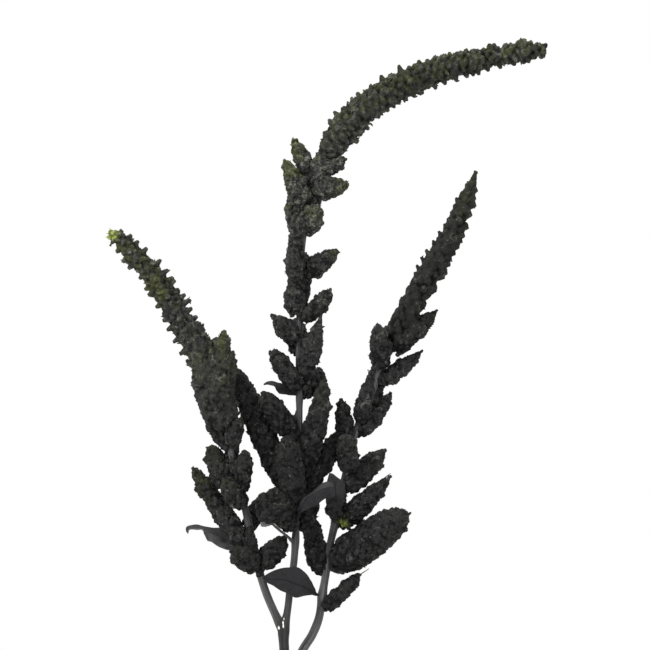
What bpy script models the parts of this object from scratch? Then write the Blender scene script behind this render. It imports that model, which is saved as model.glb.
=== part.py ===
# Dried amaranth standing in a plain stoneware bottle.
# Metres, +Z up. The origin is under the middle of the bottle's foot, and the flowers face -Y.
# A forked stem carries the left and the centre flower spikes, and a second stem carries the right
# one. Side heads grow all round each stem, and every head is covered in pointed florets.

import math
import random
from collections import namedtuple

import bmesh
import bpy
from mathutils import Vector

MM = 0.001

# Bottle, in millimetres
FOOT_RADIUS = 41
BODY_RADIUS = 55
NECK_RADIUS = 20
LIP_RADIUS = 21.5
MOUTH_RADIUS = 15
BOTTLE_HEIGHT = 240
WALL = 5
FLOOR = 7
BOTTLE_STEPS = 30

# Gap between a stem and what grows on it, so that the solids stay apart
SEAT_GAP = 0.4

# Stems: each one's radius below the fork, above it, and in its spike
STEM_RADII = {"centre": (3.75, 2.75, 2.1), "left": (3.75, 3.1, 2.1), "right": (3.3, 3.1, 2.0)}
FORK_HEIGHT = 286
STEM_BEVEL = 2
STEM_STEPS = 2
SPIKE_STEPS = 3

# Florets: how far apart they stand round a head, how far apart their rings are as a share of
# that, how much each ring turns against the last, and how far a floret stands out and forward
HEAD_PITCH = 7
SPIKE_PITCH = 6.6
RING_SHARE = 0.6
RING_TURN = 0.62
FLORET_RISE = 1.5
FLORET_LEAN = 1.3

# Side heads: the stalk's radius, and how far the middle hangs as a share of the length
PEDUNCLE_RADIUS = 1.5
HEAD_DROOP = 0.09

# Leaves: the stalk's share of the length, its half width, and how deep the blade folds
LEAF_THICKNESS = 0.8
LEAF_ROWS = 8
STALK_SHARE = 0.12
STALK_HALF_WIDTH = 0.9
TIP_HALF_WIDTH = 0.45
LEAF_FOLD = 0.22

Head = namedtuple("Head", "node stem base_z tip width")
Leaf = namedtuple("Leaf", "node stem base_z tip width faces arch")

# Each stem's centreline, in millimetres, from its foot on the bottle's floor to inside its spike.
TRUNK = [
    (12, 6, 7.6), (7, -1, 100), (0.5, -8.5, 200), (-1.2, -10.4, 237), (-1.5, -9.5, 266),
    (-1.8, -8, FORK_HEIGHT),
]
ROUTES = {
    "centre": TRUNK + [
        (-0.4, -7.5, 298), (2, -7, 315), (5.9, -6, 341), (7.9, -5, 379), (9.3, -4, 410),
        (10.1, -1, 457), (9.6, 0, 490), (11.2, 0, 525), (13, 1, 556), (15.8, 1, 585),
        (19.5, 1, 607), (25, 1, 628), (32, 0, 650),
    ],
    "left": TRUNK + [
        (-5.8, -8, 293), (-12.6, -8.5, 308), (-17.9, -9, 323), (-23, -10, 343), (-27, -11, 362),
        (-31.5, -12, 381), (-36, -13, 397), (-39.5, -13.5, 412), (-44.5, -14, 436), (-50.5, -15, 460),
    ],
    "right": [
        (-23, 12.5, 7.6), (-16, 11, 110), (-4.5, 9, 202), (1, 10.2, 237), (6.5, 9.5, 256),
        (13.4, 8.5, 270), (20.2, 8, 281), (24.4, 8, 294), (26.8, 9, 309), (30, 10, 327),
        (33.3, 11, 349), (39, 12.5, 373), (43, 13.5, 393), (49, 15, 422), (56, 16, 444),
        (65, 17, 463), (70, 18, 479), (76, 19, 495), (85, 20, 514),
    ],
}

# Each spike's centreline, from the end of its stem to its tip, and its widest diameter.
SPIKES = {
    "centre": ([
        (31, 0, 643), (39, 0, 656), (51, 0, 670), (66, -1, 683), (85.3, -2, 693.5),
        (104, -3, 702.5), (122, -5, 708), (141, -7, 712), (160, -9, 715.5), (180, -11, 718.5),
        (195, -12, 719.3),
    ], 21.5),
    "left": ([
        (-44.5, -14.2, 440), (-51, -15.2, 464), (-57.5, -16.3, 484), (-65.5, -17, 498),
        (-73.5, -18, 511), (-84.8, -19, 527.5), (-96.5, -21, 546), (-110, -23, 562),
        (-121.5, -25, 575), (-132, -27, 583.5),
    ], 18),
    "right": ([
        (80, 19.5, 504), (88, 20, 517), (96.2, 20, 532), (106.9, 21, 554), (119.2, 22, 576.5),
        (130, 23, 597), (138.2, 24, 614), (143.3, 24, 630.5),
    ], 19.5),
}
SPIKE_TIP_SHARE = {"centre": 0.78, "left": 0.62, "right": 0.34}

# Side heads: the height on the stem that each leaves at, where its tip is, and its diameter.
# Heads with one node name grow into each other.
HEADS = [
    # Centre stem, from the top down
    Head("head_centre_01", "centre", 624, (6, 4, 655), 13.5),
    Head("head_centre_02", "centre", 600, (-1, -8, 639), 14.5),
    Head("head_centre_03", "centre", 619, (46, -6, 636), 15),
    Head("head_centre_04", "centre", 605, (48, -9, 619), 16),
    Head("head_centre_05", "centre", 577, (25, -18, 606), 18),
    Head("head_centre_06", "centre", 570, (1, 10, 603), 12),
    Head("head_centre_07", "centre", 540, (4, -16, 580), 15),
    Head("head_centre_08", "centre", 557, (42, 9, 572), 15.5),
    Head("head_centre_09", "centre", 518, (-1, -4, 546), 14.5),
    Head("head_centre_10", "centre", 512, (34, -10, 541), 14.5),
    Head("head_centre_11", "centre", 498, (-10, -2, 520), 13),
    Head("head_centre_12", "centre", 475, (27, -12, 515), 16.5),
    Head("head_centre_13", "centre", 466, (-13, -10, 493), 13.5),
    Head("head_centre_14", "centre", 457, (27, 14, 479), 14),
    Head("head_centre_15", "centre", 411, (31, -4, 474), 17),
    Head("head_centre_16", "centre", 430, (-15, -8, 465), 14.5),
    Head("head_centre_17", "centre", 374, (1, -28, 432), 20),
    Head("head_centre_17", "centre", 357, (-24, -22, 385), 19.5),
    Head("head_centre_17", "centre", 362, (-8, -25, 392), 18),
    Head("head_centre_17", "centre", 371, (-36, 10, 479), 18),
    Head("head_centre_18", "centre", 391, (38, 13, 430), 16.5),
    Head("head_centre_19", "centre", 350, (23, 3, 383), 15.5),
    Head("head_centre_20", "centre", 590, (20, 22, 624), 13),
    Head("head_centre_21", "centre", 536, (12, 25, 569), 13.5),
    Head("head_centre_22", "centre", 486, (5, 24, 517), 13.5),
    Head("head_centre_23", "centre", 404, (8, 29, 447), 13.5),
    # Left stem, from the bottom up
    Head("head_left_01", "left", 332, (-40, -23, 345), 18),
    Head("head_left_02", "left", 331, (-2, 2, 353), 17),
    Head("head_left_03", "left", 347, (-71, -9, 408), 16),
    Head("head_left_04", "left", 368, (-43, -28, 398), 14.5),
    Head("head_left_04", "left", 381, (-61, -4, 424), 16.5),
    Head("head_left_05", "left", 391, (-25, -20, 422), 13.5),
    Head("head_left_06", "left", 416, (-33, -28, 446), 12),
    Head("head_left_07", "left", 414, (-61, -9, 441), 12),
    Head("head_left_08", "left", 406, (-35, 12, 442), 13),
    Head("head_left_09", "left", 354, (-19, 17, 380), 12),
    Head("spike_left", "left", 440, (-69, -20, 484), 16),
    Head("spike_left", "left", 452, (-38, -10, 492), 14),
    Head("spike_left", "left", 456, (-47, -20, 509), 15.5),
    Head("spike_left", "left", 442, (-49, -30, 480), 16),
    Head("spike_left", "left", 446, (-52, 0, 484), 14),
    # Right stem, from the bottom up
    Head("head_right_01", "right", 299, (57, 5, 326), 14.5),
    Head("head_right_02", "right", 322, (18, 21, 373), 15),
    Head("head_right_03", "right", 334, (93, -3, 378), 29),
    Head("head_right_04", "right", 362, (79, 14, 401), 15),
    Head("head_right_05", "right", 354, (33, -10, 379), 13),
    Head("head_right_06", "right", 394, (76, 27, 424), 16),
    Head("head_right_07", "right", 385, (42, -10, 429), 16),
    Head("head_right_08", "right", 415, (41, 16, 460), 15),
    Head("head_right_09", "right", 431, (81, 24, 464), 14.5),
    Head("head_right_10", "right", 443, (60, -3, 483), 13),
    Head("head_right_11", "right", 477, (70, 5, 519), 15.5),
    Head("head_right_12", "right", 469, (105, 24, 496), 15),
    Head("head_right_13", "right", 345, (46, 37, 384), 13),
    Head("head_right_14", "right", 450, (65, 38, 489), 13),
    Head("spike_right", "right", 497, (113, 24, 528), 17),
]

# Each leaf's tip, its width, the way its face looks, and how far its middle is arched.
LEAVES = [
    Leaf("leaf_low", "right", 310, (-17, -22, 326), 20, (-0.1, -1, 0.35), (0, -15, 4)),
    Leaf("leaf_left", "left", 346, (-75, -4, 360), 13, (0.2, -0.7, 0.7), (0, 8, 0)),
    Leaf("leaf_middle", "centre", 371, (38, -28, 393), 15, (-0.3, -1, 0.5), (0, -4, 2)),
    Leaf("leaf_upright", "right", 368, (32, -18, 403), 12, (-0.4, -1, 0.2), (5, 0, 8)),
    Leaf("leaf_narrow", "centre", 456, (-18, 0, 468), 8, (0, -0.5, 1), (0, 0, 2)),
]

COLOURS = {
    "bottle": ((0.46, 0.44, 0.40), 0.62),
    "stem": ((0.085, 0.085, 0.088), 0.6),
    "leaf": ((0.045, 0.045, 0.05), 0.55),
    "head": ((0.03, 0.031, 0.026), 0.9),
}


def clear_scene():
    for obj in list(bpy.data.objects):
        bpy.data.objects.remove(obj)


def material(name):
    """The Principled finish of one kind of piece."""
    found = bpy.data.materials.get(name)
    if found:
        return found
    colour, roughness = COLOURS[name]
    made = bpy.data.materials.new(name)
    made.use_nodes = True
    shader = made.node_tree.nodes["Principled BSDF"]
    shader.inputs["Base Color"].default_value = (*colour, 1)
    shader.inputs["Roughness"].default_value = roughness
    shader.inputs["Metallic"].default_value = 0
    return made


def object_of(bm, name, finish):
    """A mesh object, in metres, from a bmesh in millimetres."""
    bmesh.ops.scale(bm, vec=(MM, MM, MM), verts=bm.verts)
    mesh = bpy.data.meshes.new(name)
    bm.to_mesh(mesh)
    bm.free()
    obj = bpy.data.objects.new(name, mesh)
    bpy.context.scene.collection.objects.link(obj)
    mesh.materials.append(material(finish))
    return obj


def guide(obj):
    """Marks a cutter, which isn't part of the object."""
    obj.hide_render = True
    obj.display_type = "WIRE"
    return obj


def smooth_route(points, steps):
    """Points along a Catmull-Rom curve through the given ones."""
    knots = [Vector(p) for p in points]
    ends = [2 * knots[0] - knots[1], *knots, 2 * knots[-1] - knots[-2]]
    route = []
    for a, b, c, d in zip(ends, ends[1:], ends[2:], ends[3:]):
        for step in range(steps):
            t = step / steps
            route.append(
                0.5 * (2 * b + (c - a) * t + (2 * a - 5 * b + 4 * c - d) * t**2
                       + (3 * b - a - 3 * c + d) * t**3)
            )
    return [*route, knots[-1]]


def along(route, share):
    """The point at a share of a route's length."""
    lengths = [(q - p).length for p, q in zip(route, route[1:])]
    left = share * sum(lengths)
    for p, q, length in zip(route, route[1:], lengths):
        if left <= length:
            return p.lerp(q, left / length)
        left -= length
    return route[-1].copy()


def at_height(route, z):
    """The point where a rising route passes a height."""
    for p, q in zip(route, route[1:]):
        if p.z <= z <= q.z:
            return p.lerp(q, (z - p.z) / (q.z - p.z))
    raise ValueError(f"no point of the route is {z} mm high")


def lengthened(route):
    """A route that runs one gap past its end."""
    onward = (route[-1] - route[-2]).normalized()
    return [*route[:-1], route[-1] + onward * SEAT_GAP]


def frames(route):
    """Each point of a route with its direction and two directions across it, carried along untwisted."""
    found = []
    across = None
    for i, point in enumerate(route):
        ahead = route[min(i + 1, len(route) - 1)] - route[max(i - 1, 0)]
        ahead.normalize()
        if across is None:
            across = ahead.orthogonal()
        across = (across - ahead * across.dot(ahead)).normalized()
        found.append((point, ahead, across, ahead.cross(across)))
    return found


# Bottle


def make_bottle():
    """Turns the bottle's wall: outside from the foot up, over the lip, and down the inside."""
    outside = [
        (0, 0), (FOOT_RADIUS - 1, 0),
        (FOOT_RADIUS + 1, 2), (FOOT_RADIUS + 8, 20), (BODY_RADIUS - 1, 50), (BODY_RADIUS, 80),
        (BODY_RADIUS - 4, 115), (BODY_RADIUS - 16, 148), (NECK_RADIUS + 5, 178),
        (NECK_RADIUS, 202), (LIP_RADIUS, BOTTLE_HEIGHT - 6), (LIP_RADIUS, BOTTLE_HEIGHT - 2),
        (LIP_RADIUS - 2, BOTTLE_HEIGHT),
    ]
    inside = [
        (MOUTH_RADIUS + 2, BOTTLE_HEIGHT), (MOUTH_RADIUS, BOTTLE_HEIGHT - 3),
        (MOUTH_RADIUS, 202), (NECK_RADIUS, 175), (BODY_RADIUS - 17 - WALL, 144),
        (BODY_RADIUS - 4 - WALL, 114), (BODY_RADIUS - WALL, 80), (BODY_RADIUS - 1 - WALL, 50),
        (FOOT_RADIUS + 7 - WALL, 20), (FOOT_RADIUS - WALL - 4, FLOOR), (0, FLOOR),
    ]
    bm = bmesh.new()
    verts = [bm.verts.new((radius, 0, height)) for radius, height in outside + inside]
    edges = [bm.edges.new(pair) for pair in zip(verts, verts[1:])]
    bmesh.ops.spin(
        bm, geom=[*verts, *edges], axis=(0, 0, 1), cent=(0, 0, 0), angle=math.tau,
        steps=BOTTLE_STEPS, use_merge=True,
    )
    bmesh.ops.remove_doubles(bm, verts=bm.verts, dist=0.01)
    bmesh.ops.recalc_face_normals(bm, faces=bm.faces)
    bottle = object_of(bm, "bottle", "bottle")
    bottle.data.shade_smooth()
    bottle.data.set_sharp_from_angle(angle=math.radians(40))
    return bottle


# Stems


def stem_radius(stem, route, height):
    """A stem is even below the fork, and above it thins to its spike."""
    below, above, top = STEM_RADII[stem]
    if height <= FORK_HEIGHT:
        return below
    risen = (height - FORK_HEIGHT) / (route[-1].z - FORK_HEIGHT)
    shoulder = min(1, (height - FORK_HEIGHT) / 12)
    return below + (above - below) * shoulder + (top - above) * risen


def stem_tube(name, stem, route, grow=0):
    """A tapering tube with flat ends along a stem's route."""
    curve = bpy.data.curves.new(name, "CURVE")
    curve.dimensions = "3D"
    curve.bevel_depth = MM
    curve.bevel_resolution = STEM_BEVEL
    curve.use_fill_caps = True
    spline = curve.splines.new("POLY")
    spline.points.add(len(route) - 1)
    for point, place in zip(spline.points, route):
        point.co = (*(place * MM), 1)
        point.radius = stem_radius(stem, route, place.z) + grow
    drawn = bpy.data.objects.new(name + "_line", curve)
    bpy.context.scene.collection.objects.link(drawn)
    bpy.context.view_layer.update()
    mesh = bpy.data.meshes.new_from_object(drawn.evaluated_get(bpy.context.evaluated_depsgraph_get()))
    bpy.data.objects.remove(drawn)
    bm = bmesh.new()
    bm.from_mesh(mesh)
    bpy.data.meshes.remove(mesh)
    bmesh.ops.remove_doubles(bm, verts=bm.verts, dist=1e-6)
    bmesh.ops.scale(bm, vec=(1 / MM,) * 3, verts=bm.verts)
    return object_of(bm, name, "stem")


def boolean(obj, operation, other):
    """Adds a Boolean modifier with one object or with a collection."""
    modifier = obj.modifiers.new(operation.lower(), "BOOLEAN")
    modifier.operation = operation
    if isinstance(other, bpy.types.Collection):
        modifier.operand_type = "COLLECTION"
        modifier.collection = other
    else:
        modifier.object = other
    return modifier


def apply_modifiers(obj):
    """Makes an object's evaluated shape its own mesh."""
    bpy.context.view_layer.update()
    graph = bpy.context.evaluated_depsgraph_get()
    mesh = bpy.data.meshes.new_from_object(obj.evaluated_get(graph))
    obj.modifiers.clear()
    obj.data = mesh


def make_stems(routes):
    """The forked stem and the right stem, and for each route a cutter one gap wider."""
    forked = stem_tube("stem_forked", "centre", routes["centre"])
    # The left branch runs inside the trunk up to the fork, so only its last stretch there is joined.
    branch_start = next(i for i, p in enumerate(routes["left"]) if p.z >= FORK_HEIGHT)
    branch = stem_tube("left_branch", "left", routes["left"][branch_start:])
    boolean(forked, "UNION", branch)
    apply_modifiers(forked)
    bpy.data.objects.remove(branch)
    right = stem_tube("stem_right", "right", routes["right"])
    for stem in (forked, right):
        stem.data.shade_smooth()
        stem.data.set_sharp_from_angle(angle=math.radians(50))
    return {
        stem: guide(stem_tube(f"{stem}_clearance", stem, lengthened(route), grow=SEAT_GAP))
        for stem, route in routes.items()
    }


# Heads and spikes


def floret_surface(route, radius_at, pitch, seed):
    """A head as rings along its route, with every second ring raised into pointed florets.

    Each ring is turned half a floret from the last, so the faces between them are triangles.
    """
    rng = random.Random(seed)
    length = sum((q - p).length for p, q in zip(route, route[1:]))
    widest = max(radius_at(step / 20) for step in range(21))
    around = max(6, round(math.tau * widest / pitch))
    rings = max(4, round(length / (pitch * RING_SHARE)))
    places = [along(route, i / rings) for i in range(rings)]
    bm = bmesh.new()
    made = []
    for i, (point, ahead, across, third) in enumerate(frames(places)):
        share = i / rings
        ring = []
        for k in range(around):
            angle = math.tau * (k + i * RING_TURN) / around
            outward = across * math.cos(angle) + third * math.sin(angle)
            raised = i % 2 and i > 1
            rise = FLORET_RISE * rng.uniform(0.5, 1.3) if raised else rng.uniform(-0.4, 0.2)
            radius = radius_at(share)
            size = min(1, radius / widest + 0.15)
            lean = FLORET_LEAN * size if raised else 0
            ring.append(bm.verts.new(point + outward * (radius + rise * size) + ahead * lean))
        made.append(ring)
    for i, (low, high) in enumerate(zip(made, made[1:])):
        for k in range(around):
            after = (k + 1) % around
            bm.faces.new((low[k], low[after], high[k]))
            bm.faces.new((low[after], high[after], high[k]))
    bm.faces.new(list(reversed(made[0])))
    tip = bm.verts.new(route[-1])
    for k in range(around):
        bm.faces.new((made[-1][k], made[-1][(k + 1) % around], tip))
    bmesh.ops.triangulate(bm, faces=[f for f in bm.faces if len(f.verts) > 3])
    bmesh.ops.recalc_face_normals(bm, faces=bm.faces)
    return bm


def head_route(start, tip):
    """A side head leaves its stem outward and bends up towards its tip."""
    droop = HEAD_DROOP * (tip - start).length
    elbow = start.lerp(tip, 0.45) - Vector((0, 0, droop))
    return [
        (1 - t) ** 2 * start + 2 * t * (1 - t) * elbow + t**2 * tip
        for t in (step / 8 for step in range(9))
    ]


def head_radius(width):
    """A head swells from its short stalk and rounds off at its tip."""
    def radius_at(share):
        full = width / 2 - FLORET_RISE * 0.6
        bulge = full * max(0.0, math.sin(math.pi * min(1, share) ** 0.72)) ** 0.6
        open_share = min(1, share / 0.16)
        return PEDUNCLE_RADIUS + (max(bulge, 0.6) - PEDUNCLE_RADIUS) * open_share

    return radius_at


def spike_radius(width, tip_share):
    """A spike keeps its width, narrows towards its tip and rounds off there."""
    def radius_at(share):
        full = width / 2 - FLORET_RISE * 0.6
        body = 1 - (1 - tip_share) * max(0, (share - 0.25) / 0.75) ** 1.3
        base = min(1, 0.5 + share / 0.06)
        cap = math.sqrt(max(0.0, 1 - max(0.0, (share - 0.955) / 0.045) ** 2))
        return max(0.6, full * body * base * (0.25 + 0.75 * cap))

    return radius_at


def make_head(name, head, routes):
    start = at_height(routes[head.stem], head.base_z)
    route = head_route(start, Vector(head.tip))
    return object_of(
        floret_surface(route, head_radius(head.width), HEAD_PITCH, f"{name} {head.base_z}"),
        name, "head",
    )


def make_spike(stem):
    points, width = SPIKES[stem]
    route = smooth_route(points, SPIKE_STEPS)
    radius_at = spike_radius(width, SPIKE_TIP_SHARE[stem])
    name = f"spike_{stem}"
    return object_of(floret_surface(route, radius_at, SPIKE_PITCH, name), name, "head")


def grow_together(trunk, others):
    """Joins heads that cross each other into the first one, and removes the rest."""
    if others:
        joined = bpy.data.collections.new(trunk.name + "_heads")
        for other in others:
            joined.objects.link(other)
        boolean(trunk, "UNION", joined)
        apply_modifiers(trunk)
        for other in others:
            bpy.data.objects.remove(other)
        bpy.data.collections.remove(joined)


def make_heads(routes, clearances):
    """Every spike and side head, each cut clear of the stem that it grows on."""
    nodes = {f"spike_{stem}": (stem, [make_spike(stem)]) for stem in SPIKES}
    for head in HEADS:
        nodes.setdefault(head.node, (head.stem, []))
        count = len(nodes[head.node][1])
        name = head.node if not count else f"{head.node}_part_{count}"
        nodes[head.node][1].append(make_head(name, head, routes))
    for stem, shapes in nodes.values():
        first, *others = shapes
        grow_together(first, others)
        boolean(first, "DIFFERENCE", clearances[stem])


# Leaves


def leaf_half_width(share, width):
    """A leaf is a narrow stalk, a blade that is widest before its middle, and a drawn-out tip."""
    if share <= STALK_SHARE:
        return STALK_HALF_WIDTH
    blade = (share - STALK_SHARE) / (1 - STALK_SHARE)
    bulge = math.sin(math.pi * blade**0.8) ** 0.85
    half = STALK_HALF_WIDTH * (1 - blade) + (width / 2 - STALK_HALF_WIDTH) * bulge
    return max(TIP_HALF_WIDTH, half)


def make_leaf(leaf, routes, clearances):
    """A thin blade, folded a little along its rib and arched from stalk to tip."""
    start = at_height(routes[leaf.stem], leaf.base_z)
    tip = Vector(leaf.tip)
    elbow = start.lerp(tip, 0.5) + Vector(leaf.arch)
    faces = Vector(leaf.faces).normalized()
    bm = bmesh.new()
    bmesh.ops.create_grid(bm, x_segments=4, y_segments=LEAF_ROWS, size=1)
    for vert in bm.verts:
        across, share = vert.co.x, (vert.co.y + 1) / 2
        middle = (1 - share) ** 2 * start + 2 * share * (1 - share) * elbow + share**2 * tip
        ahead = ((elbow - start) * (1 - share) + (tip - elbow) * share).normalized()
        side = ahead.cross(faces).normalized()
        out = side.cross(ahead)
        half = leaf_half_width(share, leaf.width)
        fold = LEAF_FOLD * abs(across) * half
        vert.co = middle + side * across * half + out * fold
    bmesh.ops.recalc_face_normals(bm, faces=bm.faces)
    obj = object_of(bm, leaf.node, "leaf")
    solid = obj.modifiers.new("thickness", "SOLIDIFY")
    solid.thickness = LEAF_THICKNESS * MM
    solid.offset = 0
    boolean(obj, "DIFFERENCE", clearances[leaf.stem])
    return obj


def main():
    clear_scene()
    routes = {stem: smooth_route(points, STEM_STEPS) for stem, points in ROUTES.items()}
    make_bottle()
    clearances = make_stems(routes)
    make_heads(routes, clearances)
    for leaf in LEAVES:
        make_leaf(leaf, routes, clearances)


main()
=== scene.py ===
# Dried amaranth standing in a stoneware bottle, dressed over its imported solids.
# The tables are in millimetres: +Z is up and the flowers face -Y. A finished mesh is in metres.

import math
import random
from collections import namedtuple

import bmesh
import bpy
from mathutils import Matrix, Vector, kdtree, noise


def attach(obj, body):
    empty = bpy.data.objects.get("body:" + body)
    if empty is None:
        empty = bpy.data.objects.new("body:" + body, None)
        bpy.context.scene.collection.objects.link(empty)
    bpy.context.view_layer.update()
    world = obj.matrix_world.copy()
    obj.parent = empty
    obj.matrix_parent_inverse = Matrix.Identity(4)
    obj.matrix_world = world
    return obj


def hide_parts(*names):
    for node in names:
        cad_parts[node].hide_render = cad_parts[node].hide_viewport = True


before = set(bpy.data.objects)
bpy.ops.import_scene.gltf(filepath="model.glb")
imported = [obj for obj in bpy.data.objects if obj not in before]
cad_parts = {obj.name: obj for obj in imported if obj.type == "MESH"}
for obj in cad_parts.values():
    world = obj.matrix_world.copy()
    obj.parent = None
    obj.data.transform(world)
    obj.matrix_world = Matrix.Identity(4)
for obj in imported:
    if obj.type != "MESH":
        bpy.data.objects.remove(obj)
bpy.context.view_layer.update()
mm = 0.001
black = (0, 0, 0)
print("frame loaded:", len(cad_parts), "nodes")


# Shader maths: an expression on wires adds its Math nodes, so 1 - mask works

class Wire:
    def __init__(self, tree, socket):
        self.tree = tree
        self.socket = socket

    def maths(self, operation, first, second):
        return self.tree.node("ShaderNodeMath", {"operation": operation}, {0: first, 1: second})

    def __add__(self, other):
        return self.maths("ADD", self, other)

    def __sub__(self, other):
        return self.maths("SUBTRACT", self, other)

    def __rsub__(self, other):
        return self.maths("SUBTRACT", other, self)

    def __mul__(self, other):
        return self.maths("MULTIPLY", self, other)

    def __abs__(self):
        return self.maths("ABSOLUTE", self, 0)

    __radd__ = __add__
    __rmul__ = __mul__


class Finish:
    def __init__(self, name):
        self.material = bpy.data.materials.new(name)
        self.material.use_nodes = True
        self.nodes = self.material.node_tree.nodes
        self.links = self.material.node_tree.links
        self.shader = self.nodes["Principled BSDF"]

    def node(self, kind, settings=None, values=None, output=0):
        made = self.nodes.new(kind)
        for name, value in (settings or {}).items():
            setattr(made, name, value)
        for key, value in (values or {}).items():
            self.feed(made.inputs[key], value)
        return Wire(self, made.outputs[output])

    def feed(self, socket, value):
        if isinstance(value, Wire):
            self.links.new(value.socket, socket)
        elif hasattr(socket.default_value, "__len__") and len(socket.default_value) == 4:
            socket.default_value = (*value[:3], 1)
        else:
            socket.default_value = value

    def shade(self, **values):
        for name, value in values.items():
            self.feed(self.shader.inputs[name.replace("_", " ")], value)

    def place(self):
        return self.node("ShaderNodeTexCoord", output="Object")

    def painted(self, name):  # a number that the mesh carries on its points
        return self.node("ShaderNodeAttribute", {"attribute_name": name}, output="Fac")

    def cloud(self, place, size, detail=2.0, roughness=0.5):  # size in millimetres
        values = {"Vector": place, "Scale": 1000 / size, "Detail": detail, "Roughness": roughness}
        return self.node("ShaderNodeTexNoise", {}, values)

    def cells(self, place, size):
        return self.node("ShaderNodeTexVoronoi", {}, {"Vector": place, "Scale": 1000 / size})

    def between(self, value, low, high):  # 0 below low and 1 above high, with a soft rise
        settings = {"interpolation_type": "SMOOTHSTEP"}
        return self.node("ShaderNodeMapRange", settings, {0: value, 1: low, 2: high, 3: 0.0, 4: 1.0})

    def mix(self, factor, first, second):
        settings = {"data_type": "RGBA"}
        return self.node("ShaderNodeMix", settings, {0: factor, 6: first, 7: second}, output=2)

    def layered(self, colour, *layers):  # each layer is a colour and how much of it shows
        for paint, cover in layers:
            colour = self.mix(cover, colour, paint)
        return colour

    def bump(self, height, strength, distance):
        return self.node("ShaderNodeBump", {}, {"Strength": strength, "Distance": distance, "Height": height})


def scaled(colour, factor):
    return [part * factor for part in colour]


def clamp(value):
    return min(1, max(0, value))


# Routes: a smooth line through given points, and what stands along it

def smoothRoute(points, steps=4):
    knots = [Vector(point) for point in points]
    ends = [2 * knots[0] - knots[1], *knots, 2 * knots[-1] - knots[-2]]
    route = []
    for a, b, c, d in zip(ends, ends[1:], ends[2:], ends[3:]):
        for step in range(steps):
            t = step / steps
            first = 2 * b + (c - a) * t
            second = (2 * a - 5 * b + 4 * c - d) * t**2
            third = (3 * b - a - 3 * c + d) * t**3
            route.append((first + second + third) / 2)
    return [*route, knots[-1]]


def bentRoute(start, elbow, tip, steps=14):
    route = []
    for step in range(steps + 1):
        t = step / steps
        route.append((1 - t) ** 2 * start + 2 * t * (1 - t) * elbow + t**2 * tip)
    return route


def routeLength(route):
    return sum((q - p).length for p, q in zip(route, route[1:]))


def pointAt(route, share):
    left = clamp(share) * routeLength(route)
    for p, q in zip(route, route[1:]):
        length = (q - p).length
        if left <= length:
            return p.lerp(q, left / length)
        left -= length
    return route[-1].copy()


def atHeight(route, z):
    for p, q in zip(route, route[1:]):
        if p.z <= z <= q.z:
            return p.lerp(q, (z - p.z) / (q.z - p.z))
    raise ValueError(f"no point of the route is {z} mm high")


def wayAt(route, share, reach):
    return (pointAt(route, share + reach) - pointAt(route, share - reach)).normalized()


def evenRoute(route, count):
    return [pointAt(route, i / count) for i in range(count + 1)]


def routeFrames(route):  # each point, the way ahead, and two ways across that don't twist
    found = []
    across = None
    for i, point in enumerate(route):
        ahead = route[min(i + 1, len(route) - 1)] - route[max(i - 1, 0)]
        ahead.normalize()
        if across is None:
            across = ahead.orthogonal()
        across = (across - ahead * across.dot(ahead)).normalized()
        found.append((point, ahead, across, ahead.cross(across)))
    return found


def basisAt(place, right, ahead, out, size):
    columns = (right * size[0], ahead * size[1], out * size[2])
    basis = Matrix(columns).transposed().to_4x4()
    basis.translation = place
    return basis


# Meshes

def floatLayer(bm, name):
    layers = bm.verts.layers.float
    return layers.get(name) or layers.new(name)


def sweep(bm, route, radiusAt, sides, ribs=0.0, ribCount=5):
    # Extrudes one ring along a route and closes both ends. The ring carries where it is round the
    # stem, and each extruded ring how far along it is, for the grain.
    turnX, turnY, run = [floatLayer(bm, name) for name in ("turnX", "turnY", "run")]
    places = []
    for i, (point, ahead, across, third) in enumerate(routeFrames(route)):
        radius = radiusAt(i / (len(route) - 1))
        places.append(basisAt(point, across, third, ahead, (radius, radius, radius)))
    ring = bmesh.ops.create_circle(bm, cap_ends=False, radius=1, segments=sides)["verts"]
    for vert in ring:
        angle = math.atan2(vert.co.y, vert.co.x)
        vert[turnX] = math.cos(angle)
        vert[turnY] = math.sin(angle)
        vert.co *= 1 + ribs * math.cos(ribCount * angle)
    bmesh.ops.transform(bm, matrix=places[0], verts=ring)
    edges = list({edge for vert in ring for edge in vert.link_edges})
    firstEdges = edges
    travelled = 0
    for before, after in zip(places, places[1:]):
        grown = bmesh.ops.extrude_edge_only(bm, edges=edges)["geom"]
        verts = [item for item in grown if isinstance(item, bmesh.types.BMVert)]
        edges = [item for item in grown if isinstance(item, bmesh.types.BMEdge)]
        bmesh.ops.transform(bm, matrix=after @ before.inverted(), verts=verts)
        travelled += (after.translation - before.translation).length
        for vert in verts:
            vert[run] = travelled
    bmesh.ops.contextual_create(bm, geom=firstEdges)
    bmesh.ops.contextual_create(bm, geom=edges)


def toMesh(bm, name):
    mesh = bpy.data.meshes.new(name)
    bm.to_mesh(mesh)
    bm.free()
    return mesh


def addObject(name, data):
    made = bpy.data.objects.new(name, data)
    bpy.context.scene.collection.objects.link(made)
    return made


def addCone(part, middle, ahead, length, thick, thin, sides, capped=True):
    right = ahead.orthogonal().normalized()
    return bmesh.ops.create_cone(
        part, cap_ends=capped, segments=sides, radius1=thick, radius2=thin, depth=length,
        matrix=basisAt(middle, right, ahead.cross(right), ahead, (1, 1, 1)),
    )["verts"]


def gather(bm, part):  # moves a small bmesh into a larger one
    mesh = toMesh(part, "part")
    bm.from_mesh(mesh)
    bpy.data.meshes.remove(mesh)


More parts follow.
